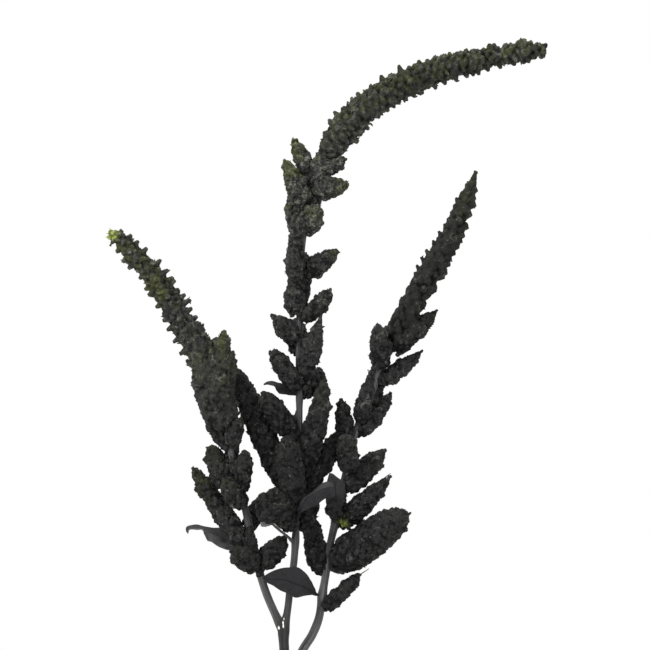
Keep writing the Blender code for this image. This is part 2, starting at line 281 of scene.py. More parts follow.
def fuse(bm, voxel):  # overlapping lumps become one closed skin
    mesh = toMesh(bm, "lumps")
    lumps = addObject("lumps", mesh)
    skin = lumps.modifiers.new("skin", "REMESH")
    skin.mode = "VOXEL"
    skin.voxel_size = voxel
    fused = bpy.data.meshes.new_from_object(lumps.evaluated_get(bpy.context.evaluated_depsgraph_get()))
    bpy.data.objects.remove(lumps)
    bpy.data.meshes.remove(mesh)
    result = bmesh.new()
    result.from_mesh(fused)
    bpy.data.meshes.remove(fused)
    return result


def finishPiece(bm, name, material, nodes):
    bmesh.ops.scale(bm, vec=(mm, mm, mm), verts=bm.verts)
    mesh = toMesh(bm, name)
    mesh.materials.append(material)
    mesh.shade_smooth()
    piece = addObject(name, mesh)
    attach(piece, "root")
    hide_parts(*nodes)


# Camera, level with the flowers and straight in front of them

view = {"distance": 3000, "width": 487.5, "middle": (29.25, 0, 513.75), "sensor": 36, "clipEnd": 50}


def makeCamera():
    data = bpy.data.cameras.new("camera")
    data.sensor_width = view["sensor"]
    data.lens = view["sensor"] * view["distance"] / view["width"]
    data.clip_end = view["clipEnd"]
    camera = addObject("camera", data)
    x, y, z = view["middle"]
    camera.location = (x * mm, (y - view["distance"]) * mm, z * mm)
    camera.rotation_euler = (math.radians(90), 0, 0)
    bpy.context.scene.camera = camera


makeCamera()

# Bottle: turned stoneware, pale glaze with iron specks, bare at the foot

bottle = {
    "outside": [
        (0, 0.8), (30, 0.8), (33, 0), (39.5, 0), (41.2, 0.8), (42, 2.4), (45.2, 10), (48.6, 19), (51.8, 33),
        (53.9, 50), (54.9, 66), (55, 80), (54, 97), (51.3, 114), (46.3, 131), (39, 148), (31, 163.5),
        (25, 178), (21.6, 190), (20, 202), (19.8, 214), (20.3, 226), (21.2, 234), (21.7, 237.2), (21, 239.2),
        (19.3, 240),
    ],
    "inside": [
        (17.2, 239.6), (15.6, 237.4), (15, 232), (15, 202), (17, 188), (20, 175), (26, 159), (33, 144),
        (40.5, 129), (46, 114), (49.2, 97), (50, 80), (49.8, 64), (49, 50), (46.7, 34), (43, 20), (38, 10),
        (32, 7), (0, 7),
    ],
    "turns": 112,
    "ringHeight": 0.16,  # the rings that the thrower's fingers left
    "ringPitch": 5.2,
    "ringDrift": (1.7, 23),  # how unevenly they stand, and over what height
    "ringsFrom": 8,
    "ringsRise": 12,
    "ringsTo": 234,
    "sway": 0.5,  # a hand-thrown wall isn't quite round
    "swayOver": 60,
    "swayRise": 40,
    "glazeFrom": 13,
    "glazeEdge": 0.5,
    "glazeWaver": 6,
    "thinUpTo": 9,  # how far above its lower edge the glaze is thin
    "rimFrom": 234.5,
    "rimTo": 239.5,
    "glaze": (0.50, 0.475, 0.42),
    "glazeThin": (0.34, 0.27, 0.19),
    "clay": (0.27, 0.175, 0.115),
    "speck": (0.07, 0.04, 0.022),
    "speckGaps": (5.5, 2.1),
}


def makeStoneware():
    look = Finish("speckledStoneware")
    place = look.place()
    height = look.node("ShaderNodeSeparateXYZ", {}, {0: place}, output="Z")
    drift = look.cloud(place, 28, 3.0)
    fine = look.cloud(place, 1.1)
    waver = look.cloud(place, 16)
    edge = height + (waver - 0.5) * (bottle["glazeWaver"] * mm)
    foot = bottle["glazeFrom"]
    glazed = look.between(edge, (foot - bottle["glazeEdge"]) * mm, (foot + bottle["glazeEdge"]) * mm)
    pooled = look.between(edge, foot * mm, (foot + bottle["thinUpTo"]) * mm)
    rim = look.between(height, bottle["rimFrom"] * mm, bottle["rimTo"] * mm)
    big, small = [look.cells(place, gap) for gap in bottle["speckGaps"]]
    many = look.cloud(place, 9)
    specks = 1 - look.between(big + (fine - 0.5) * 0.16, 0.09, 0.17)
    dust = (1 - look.between(small + (fine - 0.5) * 0.1, 0.08, 0.16)) * look.between(many, 0.45, 0.6)
    glaze = look.layered(
        bottle["glaze"],
        (scaled(bottle["glaze"], 0.86), look.between(drift, 0.35, 0.7)),
        (bottle["glazeThin"], 1 - pooled),
        (bottle["glazeThin"], rim * 0.75),
        (bottle["speck"], specks * 0.85),
        (scaled(bottle["speck"], 1.6), dust * 0.6),
    )
    clay = (scaled(bottle["clay"], 0.72), look.between(fine, 0.35, 0.7))
    colour = look.layered(bottle["clay"], clay, (glaze, glazed))
    rough = 0.9 - glazed * 0.42 + (drift - 0.5) * 0.14 + specks * 0.08
    relief = glazed * 0.55 + fine * 0.16 + look.cloud(place, 4.5) * 0.2 - specks * 0.2
    normal = look.bump(relief, 0.5, 0.6 * mm)
    look.shade(Base_Color=colour, Roughness=rough, Normal=normal, Specular_IOR_Level=0.5)
    return look.material


def makeBottle():
    outside = smoothRoute([(radius, 0, height) for radius, height in bottle["outside"]], 4)
    inside = smoothRoute([(radius, 0, height) for radius, height in bottle["inside"]], 2)
    bm = bmesh.new()
    drift, over = bottle["ringDrift"]
    for point in outside:
        if bottle["ringsFrom"] < point.z < bottle["ringsTo"]:
            strength = min(1, (point.z - bottle["ringsFrom"]) / bottle["ringsRise"]) * bottle["ringHeight"]
            wave = math.sin(point.z * math.tau / bottle["ringPitch"] + drift * math.sin(point.z / over))
            point.x += strength * wave
    profile = outside + inside
    profile[0].x = 0
    profile[-1].x = 0
    verts = [bm.verts.new((max(0, point.x), 0, point.z)) for point in profile]
    edges = [bm.edges.new(pair) for pair in zip(verts, verts[1:])]
    bmesh.ops.spin(
        bm, geom=[*verts, *edges], axis=(0, 0, 1), cent=(0, 0, 0), angle=math.tau,
        steps=bottle["turns"], use_merge=True,
    )
    bmesh.ops.remove_doubles(bm, verts=bm.verts, dist=0.01)
    for vert in bm.verts:
        rise = min(1, vert.co.z / bottle["swayRise"])
        sway = noise.noise(vert.co / bottle["swayOver"]) * bottle["sway"] * rise
        outward = Vector((vert.co.x, vert.co.y, 0))
        if outward.length > 1:
            vert.co += outward.normalized() * sway
    bmesh.ops.recalc_face_normals(bm, faces=bm.faces)
    finishPiece(bm, "stoneware_bottle", makeStoneware(), ["bottle"])


makeBottle()
print("bottle made")

# Stems: smooth grey stalks with fine ribs, a knot at the fork and small swellings under the heads

trunk = [
    (12, 6, 7.6), (7, -1, 100), (0.9, -8.5, 200), (-0.7, -10.4, 237), (-1, -9.5, 266), (-1.7, -8, 284),
]
stems = {
    "centre": {
        "points": trunk + [
            (-0.4, -7.6, 292), (0.9, -7.5, 298), (2, -7, 306), (3.3, -7, 318), (6.5, -6, 341),
            (8.3, -5, 379), (9.5, -4, 410),
            (10.1, -1, 457), (9.6, 0, 490), (10.2, 0, 525), (11.2, 1, 556), (13.2, 1, 580),
            (18.4, 1, 602), (24.6, 1, 628), (32, 0, 650),
        ],
        "radii": (3.7, 2.75, 2.1),
        "tones": [(0, 0.45), (240, 0.26), (284, 0.23), (300, 0.55), (330, 0.66), (420, 0.6)],
        "knots": [(286, 0.9, 6), (100, 0.35, 5), (188, 0.3, 5), (352, 0.5, 5), (372, 0.5, 5), (409, 0.4, 4),
                  (459, 0.4, 4), (512, 0.4, 4), (557, 0.3, 4)],
    },
    "left": {
        "points": trunk + [
            (-5.8, -8, 293), (-12.6, -8.5, 308), (-17.9, -9, 323), (-23, -10, 343), (-27, -11, 362),
            (-31.5, -12, 381), (-36, -13, 397), (-39.5, -13.5, 412), (-44.5, -14, 436), (-50.5, -15, 460),
        ],
        "radii": (3.7, 3.15, 2.1),
        "tones": [(0, 0.45), (284, 0.23), (300, 0.74), (330, 0.79), (400, 0.73)],
        "knots": [(287, 0.5, 5), (332, 0.5, 4), (347, 0.4, 4), (368, 0.4, 4), (392, 0.3, 4)],
    },
    "right": {
        "points": [
            (-23, 12.5, 7.6), (-16, 11, 110), (-4.5, 9, 202), (0.8, 10.2, 237), (6.1, 9.5, 256),
            (12.9, 8.5, 270), (19.8, 8, 281), (24.9, 8, 294), (27, 9, 309), (30, 10, 327),
            (33.3, 11, 349), (39, 12.5, 373), (43, 13.5, 393), (49, 15, 422), (56, 16, 444),
            (65, 17, 463), (70, 18, 479), (76, 19, 495), (85, 20, 514),
        ],
        "radii": (3.3, 3.1, 2.0),
        "tones": [(0, 0.9), (250, 1.0), (330, 0.95), (420, 0.8)],
        "knots": [(150, 0.3, 5), (310, 0.7, 4.5), (334, 0.4, 4), (362, 0.4, 4), (394, 0.3, 4), (431, 0.3, 4)],
    },
    "twig": {
        "points": [(5.6, -6.5, 351), (1.5, -10, 355.5), (-4, -14, 360), (-9, -17, 364.5), (-12, -18.5, 368)],
        "radii": (1.5, 1.5, 0.9),
        "tones": [(340, 0.7), (370, 0.9)],
        "knots": [(352, 0.5, 2)],
    },
}
stemLook = {
    "fork": 286,
    "shoulder": 12,
    "sides": 24,
    "step": 3.2,
    "ribs": 0.022,
    "unevenness": 0.12,
    "grain": (("turnX", 4), ("turnY", 4), ("run", 0.04)),  # far finer round the stem than along it
    "bark": (0.042, 0.042, 0.0438),
    "pale": (0.098, 0.098, 0.099),
    "dark": (0.013, 0.013, 0.014),
    "fleck": (0.60, 0.59, 0.56),
    "flecks": [
        ((-1.5, -11.4, 294.4), 0.62), ((-2.1, -11.6, 291.6), 0.6), ((-1.9, -11.6, 288.8), 0.7),
        ((-5.3, -10.6, 287.4), 0.72), ((-10.8, -20, 366.8), 0.9), ((-17.6, -20, 363.8), 0.5),
    ],
}
stemRoutes = {name: smoothRoute(entry["points"]) for name, entry in stems.items()}


def stemRadius(name, height):
    below, above, top = stems[name]["radii"]
    radius = below
    if height > stemLook["fork"]:
        risen = (height - stemLook["fork"]) / (stems[name]["points"][-1][2] - stemLook["fork"])
        shoulder = min(1, (height - stemLook["fork"]) / stemLook["shoulder"])
        radius = below + (above - below) * shoulder + (top - above) * risen
    for middle, swelling, reach in stems[name]["knots"]:
        radius += swelling * math.exp(-(((height - middle) / reach) ** 2))
    return radius


def makeStalk():
    look = Finish("dryStalk")
    place = look.place()
    values = {i: look.painted(name) * (scale * mm) for i, (name, scale) in enumerate(stemLook["grain"])}
    grain = look.node("ShaderNodeCombineXYZ", {}, values)
    ribs = look.cloud(grain, 1.5, 3.0, 0.6)
    blotch = look.cloud(place, 9, 3.0)
    fine = look.cloud(place, 0.9)
    colour = look.layered(
        stemLook["bark"],
        (stemLook["pale"], look.between(ribs, 0.42, 0.66)),
        (stemLook["dark"], look.between(1 - ribs, 0.5, 0.72) * 0.75),
        (stemLook["dark"], look.between(blotch, 0.5, 0.75) * 0.5),
        (stemLook["pale"], look.between(fine, 0.66, 0.75) * 0.4),
        (black, 1 - look.painted("tone")),
    )
    squeeze = (1, 0.3, 0.5)  # the flecks are taller than wide
    ragged = (look.cloud(place, 1.6) - 0.5) * 0.0011
    for middle, reach in stemLook["flecks"]:
        target = [part * mm * share for part, share in zip(middle, squeeze)]
        squeezed = look.node("ShaderNodeVectorMath", {"operation": "MULTIPLY"}, {0: place, 1: squeeze})
        away = look.node("ShaderNodeVectorMath", {"operation": "DISTANCE"}, {0: squeezed, 1: target}, "Value")
        bare = 1 - look.between(away + ragged, reach * 0.7 * mm, reach * 1.2 * mm)
        colour = look.mix(bare, colour, stemLook["fleck"])
    normal = look.bump(ribs * 0.7 + fine * 0.3, 0.55, 0.4 * mm)
    look.shade(Base_Color=colour, Roughness=0.5 + blotch * 0.25, Normal=normal, Specular_IOR_Level=0.2)
    return look.material


def softStep(low, high, value):
    t = clamp((value - low) / (high - low))
    return t * t * (3 - 2 * t)


def levelAt(levels, height):  # softly between the values that are given for some heights
    for (low, *first), (high, *second) in zip(levels, levels[1:]):
        if height < high:
            return [a + (b - a) * softStep(low, high, height) for a, b in zip(first, second)]
    return levels[-1][1:]


def makeStem(pieceName, parts, nodes, material):
    bm = bmesh.new()
    tone = floatLayer(bm, "tone")
    for stem, lowest in parts:
        before = len(bm.verts)
        route = [point for point in stemRoutes[stem] if point.z >= lowest]
        route = evenRoute(route, round(routeLength(route) / stemLook["step"]))
        heights = [point.z for point in route]
        sweep(
            bm, route, lambda share: stemRadius(stem, heights[round(share * (len(heights) - 1))]),
            stemLook["sides"], stemLook["ribs"],
        )
        bm.verts.ensure_lookup_table()
        for vert in bm.verts[before:]:
            vert[tone] = levelAt(stems[stem]["tones"], vert.co.z)[0]
    for vert in bm.verts:
        vert.co += vert.co.orthogonal().normalized() * stemLook["unevenness"] * noise.noise(vert.co / 5)
    bmesh.ops.recalc_face_normals(bm, faces=bm.faces)
    finishPiece(bm, pieceName, material, nodes)


stalk = makeStalk()
makeStem("forked_stalk", [("centre", 0), ("left", 278), ("twig", 0)], ["stem_forked"], stalk)
makeStem("right_stalk", [("right", 0)], ["stem_right"], stalk)
print("stems made")

# Heads by stem, in the order of their numbers: height where each leaves the stem, tip, width, how olive
# its tip is, how blunt it is and how far it bends sideways. The heads in one list grow into each other,
# and a head that names a stem stands on that one.

headRows = {
    "centre": [
        [(616.5, (5, 4, 654.1), 14.2, 0.8, 0.42, -2.3)],
        [(598.7, (-0.9, -8, 636.8), 18.2, 0.9, 0.2, -1.4)],
        [(625.6, (45.1, -6, 638), 13.7, 0.2, 0.28, 4), (608.8, (27.6, -1, 645.6), 14.8, 0.1, 0.45, 1.3),
         (608, (31, -1, 649), 12, 0.1, 0.9, 0)],
        [(613.6, (47.3, -9, 618.8), 18.6, 0.35, 0, 3.4)],
        [(583.6, (22.9, -18, 602.7), 18.1, 0.35, 0.36, 0)],
        [(569.6, (1.8, 10, 610.2), 10.7, 0.2, 0.86, 1), (563.6, (9, 4, 606.1), 10, 0.2, 0.82, 2.4)],
        [(534.7, (3, -16, 580.3), 13.6, 0.1, 0, 0.7), (548, (9.5, 0, 578), 10, 0.1, 0.9, 0)],
        [(553.2, (38.8, 9, 570.9), 17.2, 0.3, 0.08, -1.9)],
        [(520.5, (3.5, -4, 543.4), 17.4, 0.1, 0.38, -0.6)],
        [(518, (32.9, -10, 540.2), 14.2, 0.2, 0.69, -4)],
        [(500.4, (-9.5, -2, 520.8), 16.5, 0.2, 0.11, -1.3)],
        [(469.2, (26.4, -12, 520.4), 16.9, 0.1, 0.06, -0.2)],
        [(462.4, (-9.9, -10, 493.6), 15.6, 0.1, 0.91, -3.7)],
        [(459.9, (27.3, 14, 478.8), 15.7, 0.1, 0.62, 1.2)],
        [(398.3, (29.2, -4, 474.4), 18.3, 0.3, 0.33, -4)],
        [(427, (-16.6, -8, 462.5), 17.6, 0.1, 1, -0.3)],
        [(373.7, (0.9, -28, 431), 20.9, 0.1, 0.56, 0.1),
         ("twig", 366.7, (-13.3, -22, 389.3), 22.2, 0.2, 0.56, 1),
         (362, (-8.9, -25, 391.6), 20.7, 0.2, 0.91, 4), (379.4, (-38, 10, 480.5), 20.5, 0.1, 1, -0.1)],
        [(388.7, (40.4, 13, 430.2), 18.4, 0.1, 1, 0.7)],
        [(359, (22.7, 3, 384.3), 16.1, 0.1, 0.38, 1.1)],
        [(589.9, (23.5, 22, 624.4), 13.9, 0.3, 0.7, -1.6)],
        [(524.7, (14.4, 25, 568.8), 14.2, 0.2, 0.43, 0.7)],
        [(491.3, (6.7, 24, 517.7), 16.8, 0.2, 0.8, -1.4)],
        [(403.7, (7.9, 29, 448.8), 12.7, 0.2, 0.42, 0.3)],
    ],
    "left": [
        [(335.8, (-38.3, -23, 347.5), 19.3, 0.2, 0.22, 2.9)],
        [(336.1, (-0.9, 2, 354.9), 18.8, 0.2, 0.15, -4), (327.5, (-27.4, -12, 365.5), 10, 0, 1, 4),
         (326.5, (-29.4, -12, 360.4), 10, 0, 0.7, 0.2), (320, (-27.2, -12, 361), 9.5, 0, 0.8, 0)],
        [(339.4, (-70.1, -9, 407.3), 16.7, 0.45, 0.66, -2.4)],
        [(377.6, (-44.8, -28, 399.3), 16.3, 0.3, 0.49, 0.9),
         (384.4, (-57.4, -4, 423), 19.8, 0.35, 0.55, 2.7)],
        [(386.7, (-30.4, -20, 419.7), 14.3, 0.1, 0.9, -0.1), (384, (-40.5, -15, 416), 9, 0, 0.8, 0)],
        [(423, (-32.9, -28, 445.7), 13, 0.4, 0, 0.1)],
        [(416.9, (-59.5, -9, 443), 10.7, 0.2, 0.97, -2.7)],
        [(408.7, (-38.7, 12, 442), 12.1, 0.2, 0.35, 4)],
        [(362.5, (-20.3, 17, 380.8), 14.4, 0.2, 0.78, 0.4)],
    ],
    "right": [
        [(298.4, (55.4, 5, 326.4), 13.2, 0.1, 0.76, 1.1)],
        [(323.1, (18.3, 21, 374), 18.2, 0.1, 0.08, 3.1)],
        [(330.1, (90, -3, 373.2), 29.4, 0.1, 0.63, 4)],
        [(360.4, (78.3, 14, 399.2), 18.7, 0.2, 0.05, 1.6)],
        [(367.3, (32, -10, 379), 11.5, 0, 0.98, -4)],
        [(387.3, (74.7, 27, 419), 19, 0.2, 0.28, 3.3)],
        [(404.7, (44.6, -10, 429.8), 16.9, 0.2, 1, -2.2)],
        [(410.2, (41.5, 16, 457.5), 15.5, 0.1, 0.52, -1.9)],
        [(428.6, (79.3, 24, 463), 13.9, 0.1, 0.23, -2.2)],
        [(437.1, (65.1, -3, 482.4), 13.5, 0.1, 0, 0.1)],
        [(479.3, (68.5, 5, 514.5), 17.2, 0.1, 0.28, -3.7)],
        [(469.1, (102.9, 24, 494.2), 14.9, 0.1, 0, 0.1)],
        [(360, (44.8, 37, 384.9), 11.1, 0.1, 0, -0.5)],
        [(451.4, (71.5, 38, 486.5), 15.1, 0.1, 0.83, -4)],
    ],
}
spikeFeet = {  # the short heads round the foot of a spike
    "left": [
        (431.2, (-69.8, -20, 485.4), 18.5, 0.15, 0, 1.9),
        (449.5, (-39.2, -10, 494.6), 13.8, 0.22, 0.2, 0.4),
        (458.4, (-45.3, -20, 508.9), 16.2, 0.45, 0.68, 4),
        (442, (-49, -30, 480), 16, 0.15, 0.5, 0),
        (446, (-52, 0, 484), 14, 0.15, 0.5, 0),
    ],
    "right": [
        (495.2, (114.3, 24, 525.3), 18.6, 0.1, 0, 0),
    ],
}
Head = namedtuple("Head", "stem base tip width olive blunt bend")
Growth = namedtuple("Growth", "radiusAt proud green lime upper stalked")
heads = {f"spike_{stem}": [Head(stem, *row) for row in rows] for stem, rows in spikeFeet.items()}
for stem, nodes in headRows.items():
    for number, rows in enumerate(nodes, 1):
        grown = [Head(*row) if row[0] in stems else Head(stem, *row) for row in rows]
        heads[f"head_{stem}_{number:02}"] = grown

headLook = {
    "droop": 0.09,
    "stalk": 1.5,
    "opening": 0.14,  # these three are shares of a head's length
    "bareFoot": 0.08,
    "shoulder": 0.38,
    "standOut": 0.9,
    "core": 0.9,
    "steps": 40,
    "scales": (0.65, 1.2),
    "uneven": (0.85, 1.15),
    "spacing": 4.6,
    "lump": (2.9, 3.4, 2.2),
    "sink": 1.45,
    "lean": 0.5,
    "proud": 0.9,
    "peaks": (0.0, 0.0, 0.2, 0.5),
    "beaks": 0.1,
    "beakLength": (2.0, 3.4),
    "beakThick": (0.9, 1.3),
    "voxel": 0.52,
    "grain": 1.7,  # one floret
    "grainWidth": 0.72,
    "grainHeight": 0.5,
    # painted light and shade on the heads: lighter on the grain and the swells, darker the deeper a point
    # lies between the lumps
    "grainShade": 0.5,
    "creviceShade": 0.5,
    "paintedLightBase": -0.08,
    "swell": 3.1,  # broad and low waves of the skin, under the grain
    "swellHeight": 0.35,
    "swellShade": 0.35,
    "patch": 8,
    "patchy": 0.34,
    "pointEvery": 24.0,
    "pointLength": (0.8, 1.9),
    "pointWidth": (0.5, 0.8),
}
groupSkins = {  # what differs on one group of heads
    "head_right": {"creviceShade": 0.38, "grainShade": 0.4, "paintedLightBase": -0.02, "patchy": 0.0},
}
goldenAngle = 2.39996
lumpCover = 0.87  # how much of its square of skin a lump covers
pointsAtOnce = 24  # a few at a time, which is quicker
thinSprout = 1  # a thinner one would be lost in fuse, so it is added after it

# Single lobes and spines that stand out of a head: start, end and thickness

sprouts = {
    "head_centre_11": [((-9, -2, 518.5), (-11.6, -2, 522), 1.7)],
    "head_centre_13": [((-9.5, -10, 490.5), (-12.3, -10, 494), 2.4)],
    "head_centre_17": [((-12.5, -21, 366.2), (-18.2, -20, 364.6), 2.5)],
    "head_centre_18": [((15, 3, 388.5), (26, 4, 397.2), 4.0)],
    "head_right_01": [((52, 3, 324.1), (62.3, 3, 330.8), 0.55), ((33, 7, 304.5), (40, 5, 302.4), 2.3)],
    "head_right_03": [
        ((88, -3, 368), (93.8, -3, 373.5), 1.6), ((80, -3, 358), (90.4, -3, 360.8), 3.5),
        ((35, 4, 330.5), (43.5, 1, 327.6), 2.5), ((62, -2, 340.5), (65.4, -2, 337.6), 2.0),
        ((51, 0, 334.5), (54.4, 0, 331.8), 2.3),
    ],
    "head_right_04": [((71, 14, 396), (78.8, 14, 402.1), 0.7), ((45, 6, 366), (47.2, 4, 360.8), 3.1)],
    "head_right_12": [((84, 23, 491.5), (94, 24, 496.2), 2.1)],
    "spike_left": [
        ((-78, -18, 529.5), (-71.2, -18, 534.8), 0.7), ((-129, -27, 577), (-133.3, -27, 580.2), 1.0),
        ((-56, -18, 500), (-51, -18, 504.2), 2.6), ((-70, -20, 484), (-74, -20, 487.5), 2.6),
    ],
    "spike_right": [((115.5, 21, 550), (120.8, 21, 553.8), 1.4), ((107, 21, 536.8), (113.4, 21, 539.4), 1.5)],
}

# Spikes: a line from the end of the stem to the tip, widths along it, and a spiral of lumps round it.
# Teeth stand to the left and right of the way ahead, at a share of the line and a distance from it, with
# others between them in front and behind. toothThick is the foot and the tip of a tooth on either side,
# and tip the start, foot and tip of the last one. fingers and beaks are how many lumps carry one.

spikeLook = {
    "grainHeight": 0.28,
    # the same painted light and shade on the spikes
    "grainShade": 0.3,
    "creviceShade": 0.8,
    "patchy": 0.25,
    "pointEvery": 70.0,
    "pointLength": (1.4, 2.8),
    "pointWidth": (0.8, 1.3),
    "steps": 120,
    "wobble": 0.12,
    "scales": (0.75, 1.25),
    "fingers": 0.0,
    "fingerLength": (3.0, 5.0),
    "fingerThick": (1.4, 2.1),
    "toothGap": 0.016,  # how far along the teeth in front and behind stand
    "toothRoot": 2.2,  # how deep in the body a tooth begins
    "toothShort": 0.4,  # how much less those in front and behind stand out
    "beaks": 0.08,
    "beakSize": (5.0, 2.2),
    "lime": 0.0,
    "upper": False,  # painted light from above: greener and a little lighter on the side that faces up, and not towards the tip
}
spikes = {
    "spike_centre": {
        **spikeLook,
        "points": [
            (31.5, 0, 640.5), (40.1, 0, 656.2), (50.1, 0, 668.1), (61.8, -0.7, 678.4), (75, -1.4, 687.1),
            (88.5, -2.1, 694), (102.7, -2.9, 700.3), (117.7, -4.5, 705.7), (132.5, -6.1, 709.6),
            (148.6, -7.8, 712.9), (164, -9.4, 715.8), (179.1, -10.9, 718.4), (193.8, -12, 718.6),
        ],
        "widths": (18, 22.2, 23.2, 21.4, 21.6, 21.6, 21, 19.9, 18.9, 18, 16.2, 16, 16.6, 13),
        "toothBack": 0.8, "toothThick": ((3.7, 1.1), (3.7, 1.1)),
        "teeth": (
            ((0.117, 13.9), (0.15, 14.4), (0.18, 12.4), (0.223, 11.8), (0.255, 13.1), (0.28, 10.9),
             (0.31, 11.2), (0.359, 14.4), (0.39, 11.9), (0.436, 15.2), (0.469, 11.3), (0.491, 11.4),
             (0.511, 12.6), (0.543, 11), (0.575, 10.6), (0.606, 10.6), (0.631, 10.7), (0.66, 9.6),
             (0.693, 10.2), (0.724, 9.3), (0.788, 10.5), (0.806, 10.3), (0.851, 8.6), (0.902, 8.8),
             (0.922, 9.6)),
            ((0.114, 15), (0.158, 13.3), (0.194, 14.4), (0.235, 11.4), (0.265, 12.9), (0.315, 12.6),
             (0.345, 12.6), (0.403, 12), (0.44, 12.6), (0.476, 12.6), (0.51, 10.8), (0.536, 12.9),
             (0.579, 12.2), (0.63, 12.4), (0.676, 11.6), (0.702, 11.2), (0.724, 11.4), (0.764, 10),
             (0.814, 9.6), (0.869, 9.4), (0.912, 9.5), (0.933, 9.2)),
        ),
        "spacing": 5.7, "lump": (4.9, 3.0, 3.6), "twist": 0.5, "sink": 2.0, "lean": 0.25,
        "peaks": (0.0, 0.1, 0.4, 0.8), "proud": 2.6, "core": 1.8, "green": 0.25, "creviceShade": 0.78,
        "swellShade": 0.5, "upper": True,
    },
    "spike_left": {
        **spikeLook,
        "points": [
            (-44.5, -14.2, 440), (-51, -15.2, 464), (-57.5, -16.3, 484), (-64.5, -17, 497),
            (-71.1, -17.6, 505.8), (-79, -18.4, 517.6), (-85.6, -19.2, 530.8), (-92.9, -20.5, 541.8),
            (-101.4, -21.9, 554.4), (-111.8, -23.3, 564.2), (-120.7, -24.9, 574.8),
            (-125.8, -25.9, 579.2), (-130.2, -27, 581.8),
        ],
        "widths": (22, 24, 24, 24, 22.5, 20.8, 19.2, 18.3, 17.9, 17, 16, 14.6, 9.5),
        "toothBack": 0.3, "toothThick": ((3.2, 1.3), (3.2, 1.3)),
        "teeth": (
            ((0.387, 15.2), (0.443, 13.5), (0.497, 12.6), (0.535, 11.8), (0.562, 10), (0.61, 12),
             (0.639, 9.3), (0.674, 11.4), (0.702, 11.4), (0.726, 8.6), (0.765, 10.1), (0.834, 10.1),
             (0.867, 9.9), (0.919, 8.8)),
            ((0.409, 11.8), (0.443, 11.6), (0.479, 12.6), (0.528, 12.4), (0.566, 14.2), (0.592, 12.4),
             (0.622, 10.5), (0.663, 11.8), (0.68, 11.8), (0.72, 11.8), (0.764, 11.8), (0.839, 11.2),
             (0.893, 9.8), (0.93, 8.8), (0.966, 6.6)),
        ),
        "spacing": 4.9, "lump": (3.8, 3.1, 3.0), "twist": 0.9, "sink": 1.95, "lean": 0.2,
        "peaks": (0.0, 0.1, 0.4), "fingers": 0.06, "beakSize": (4.2, 1.9), "proud": 2.2, "core": 1.6,
        "green": 0.2, "lime": 1.0, "creviceShade": 0.4, "paintedLightBase": 0.08, "grainHeight": 0.2,
    },
    "spike_right": {
        **spikeLook,
        "points": [
            (80, 19.5, 504), (88.5, 20, 517), (97.9, 20.1, 534.8), (103.9, 20.6, 545.5), (109.4, 21.1, 555.5),
            (114.8, 21.6, 565.9), (121, 22, 575.6), (126.4, 22.5, 586.3), (131.2, 23.1, 597.6),
            (135.4, 23.7, 608.4), (139.8, 24.1, 618.6), (143.1, 24, 628.8),
        ],
        "widths": (17, 18, 17.8, 17.8, 17.2, 16, 15, 14.8, 14, 12.2, 9.8, 3),
        "toothBack": 3.8, "toothThick": ((3.5, 0.9), (4.4, 2.6)), "tip": (0.93, 3.9, 1.2),
        "teeth": (
            ((0.37, 10.2), (0.408, 11.4), (0.461, 11.4), (0.505, 10.7), (0.562, 10.1), (0.594, 8.4),
             (0.629, 9.6), (0.679, 8.2), (0.72, 7.6), (0.759, 7.2), (0.8, 7.0), (0.837, 7.5),
             (0.88, 5.4), (0.929, 4.5)),
            ((0.36, 9.8), (0.429, 11.2), (0.454, 11.4), (0.504, 10.5), (0.54, 9.2), (0.574, 9.2),
             (0.612, 9.3), (0.644, 9.3), (0.674, 9), (0.722, 8.9), (0.791, 7.8), (0.846, 8.4),
             (0.883, 5.8), (0.925, 4.6)),
        ),
        "spacing": 6.9, "lump": (4.5, 4.7, 4.0), "twist": 0.3, "sink": 2.4, "lean": 0.8,
        "peaks": (0.1, 0.3, 0.5), "beaks": 0.0, "proud": 2.0, "core": 1.6, "green": 0.15,
        "grainShade": 0.2, "pointEvery": 120.0,
    },
}

# Places that are still green: middle, reach, green and lime

greenPlaces = [
    ((42, 5, 364.8), 6.2, 1.0, 0.6), ((2, -28, 382), 5, 0.6, 0.0), ((-126, -32, 570), 7, 0.9, 0.2),
    ((-100, -28, 542), 8, 0.9, 0.2), ((-94, -30, 536), 6, 0.8, 0.35), ((-104, -24, 530), 7, 0.7, 0.1),
    ((-128, -29, 580.6), 4.8, 1.0, 0.95),
]
barePlaces = [((-16, -22, 365), 4.4)]  # a pale scar: middle and reach

# How light and how olive each group of heads is: height, tone and tint

tones = {
    "head_centre": [
        (345, 0.39, 0.0), (430, 0.42, 0.0), (480, 0.54, 0.0), (560, 0.68, 0.08), (600, 0.9, 0.24),
    ],
    "head_left": [(330, 0.46, 0.02), (400, 0.5, 0.04), (450, 0.53, 0.06)],
    "head_right": [(300, 0.46, 0.0), (420, 0.64, 0.0), (520, 0.64, 0.02)],
    "spike_right": [(500, 0.4, 0.1), (560, 0.45, 0.18), (630, 0.56, 0.25)],
    "spike_left": [(440, 0.6, 0.15), (500, 0.78, 0.25), (580, 0.92, 0.36)],
    "spike_centre": [(640, 0.73, 0.22), (700, 0.58, 0.33), (720, 0.74, 0.33)],
}


def headRadius(head):  # a tapering body, with a rounder end where the head is blunt
    full = head.width / 2 - headLook["standOut"]
    shoulder = headLook["shoulder"]

    def radiusAt(share):
        rise = math.sin(math.pi / 2 * min(1, share / shoulder)) ** 0.6
        left = clamp((share - shoulder) / (1 - shoulder))
        body = full * min(rise, (1 - left ** (1.6 + 2.8 * head.blunt)) ** (0.75 - 0.25 * head.blunt))
        opening = min(1, share / headLook["opening"])
        return headLook["stalk"] + (max(body, 0.4) - headLook["stalk"]) * opening

    return radiusAt


def spikeRadius(widths, proud):
    def radiusAt(share):
        at = clamp(share) * (len(widths) - 1)
        i = min(len(widths) - 2, int(at))
        return max(0.6, (widths[i] + (widths[i + 1] - widths[i]) * (at - i)) / 2 - proud * 0.6)

    return radiusAt


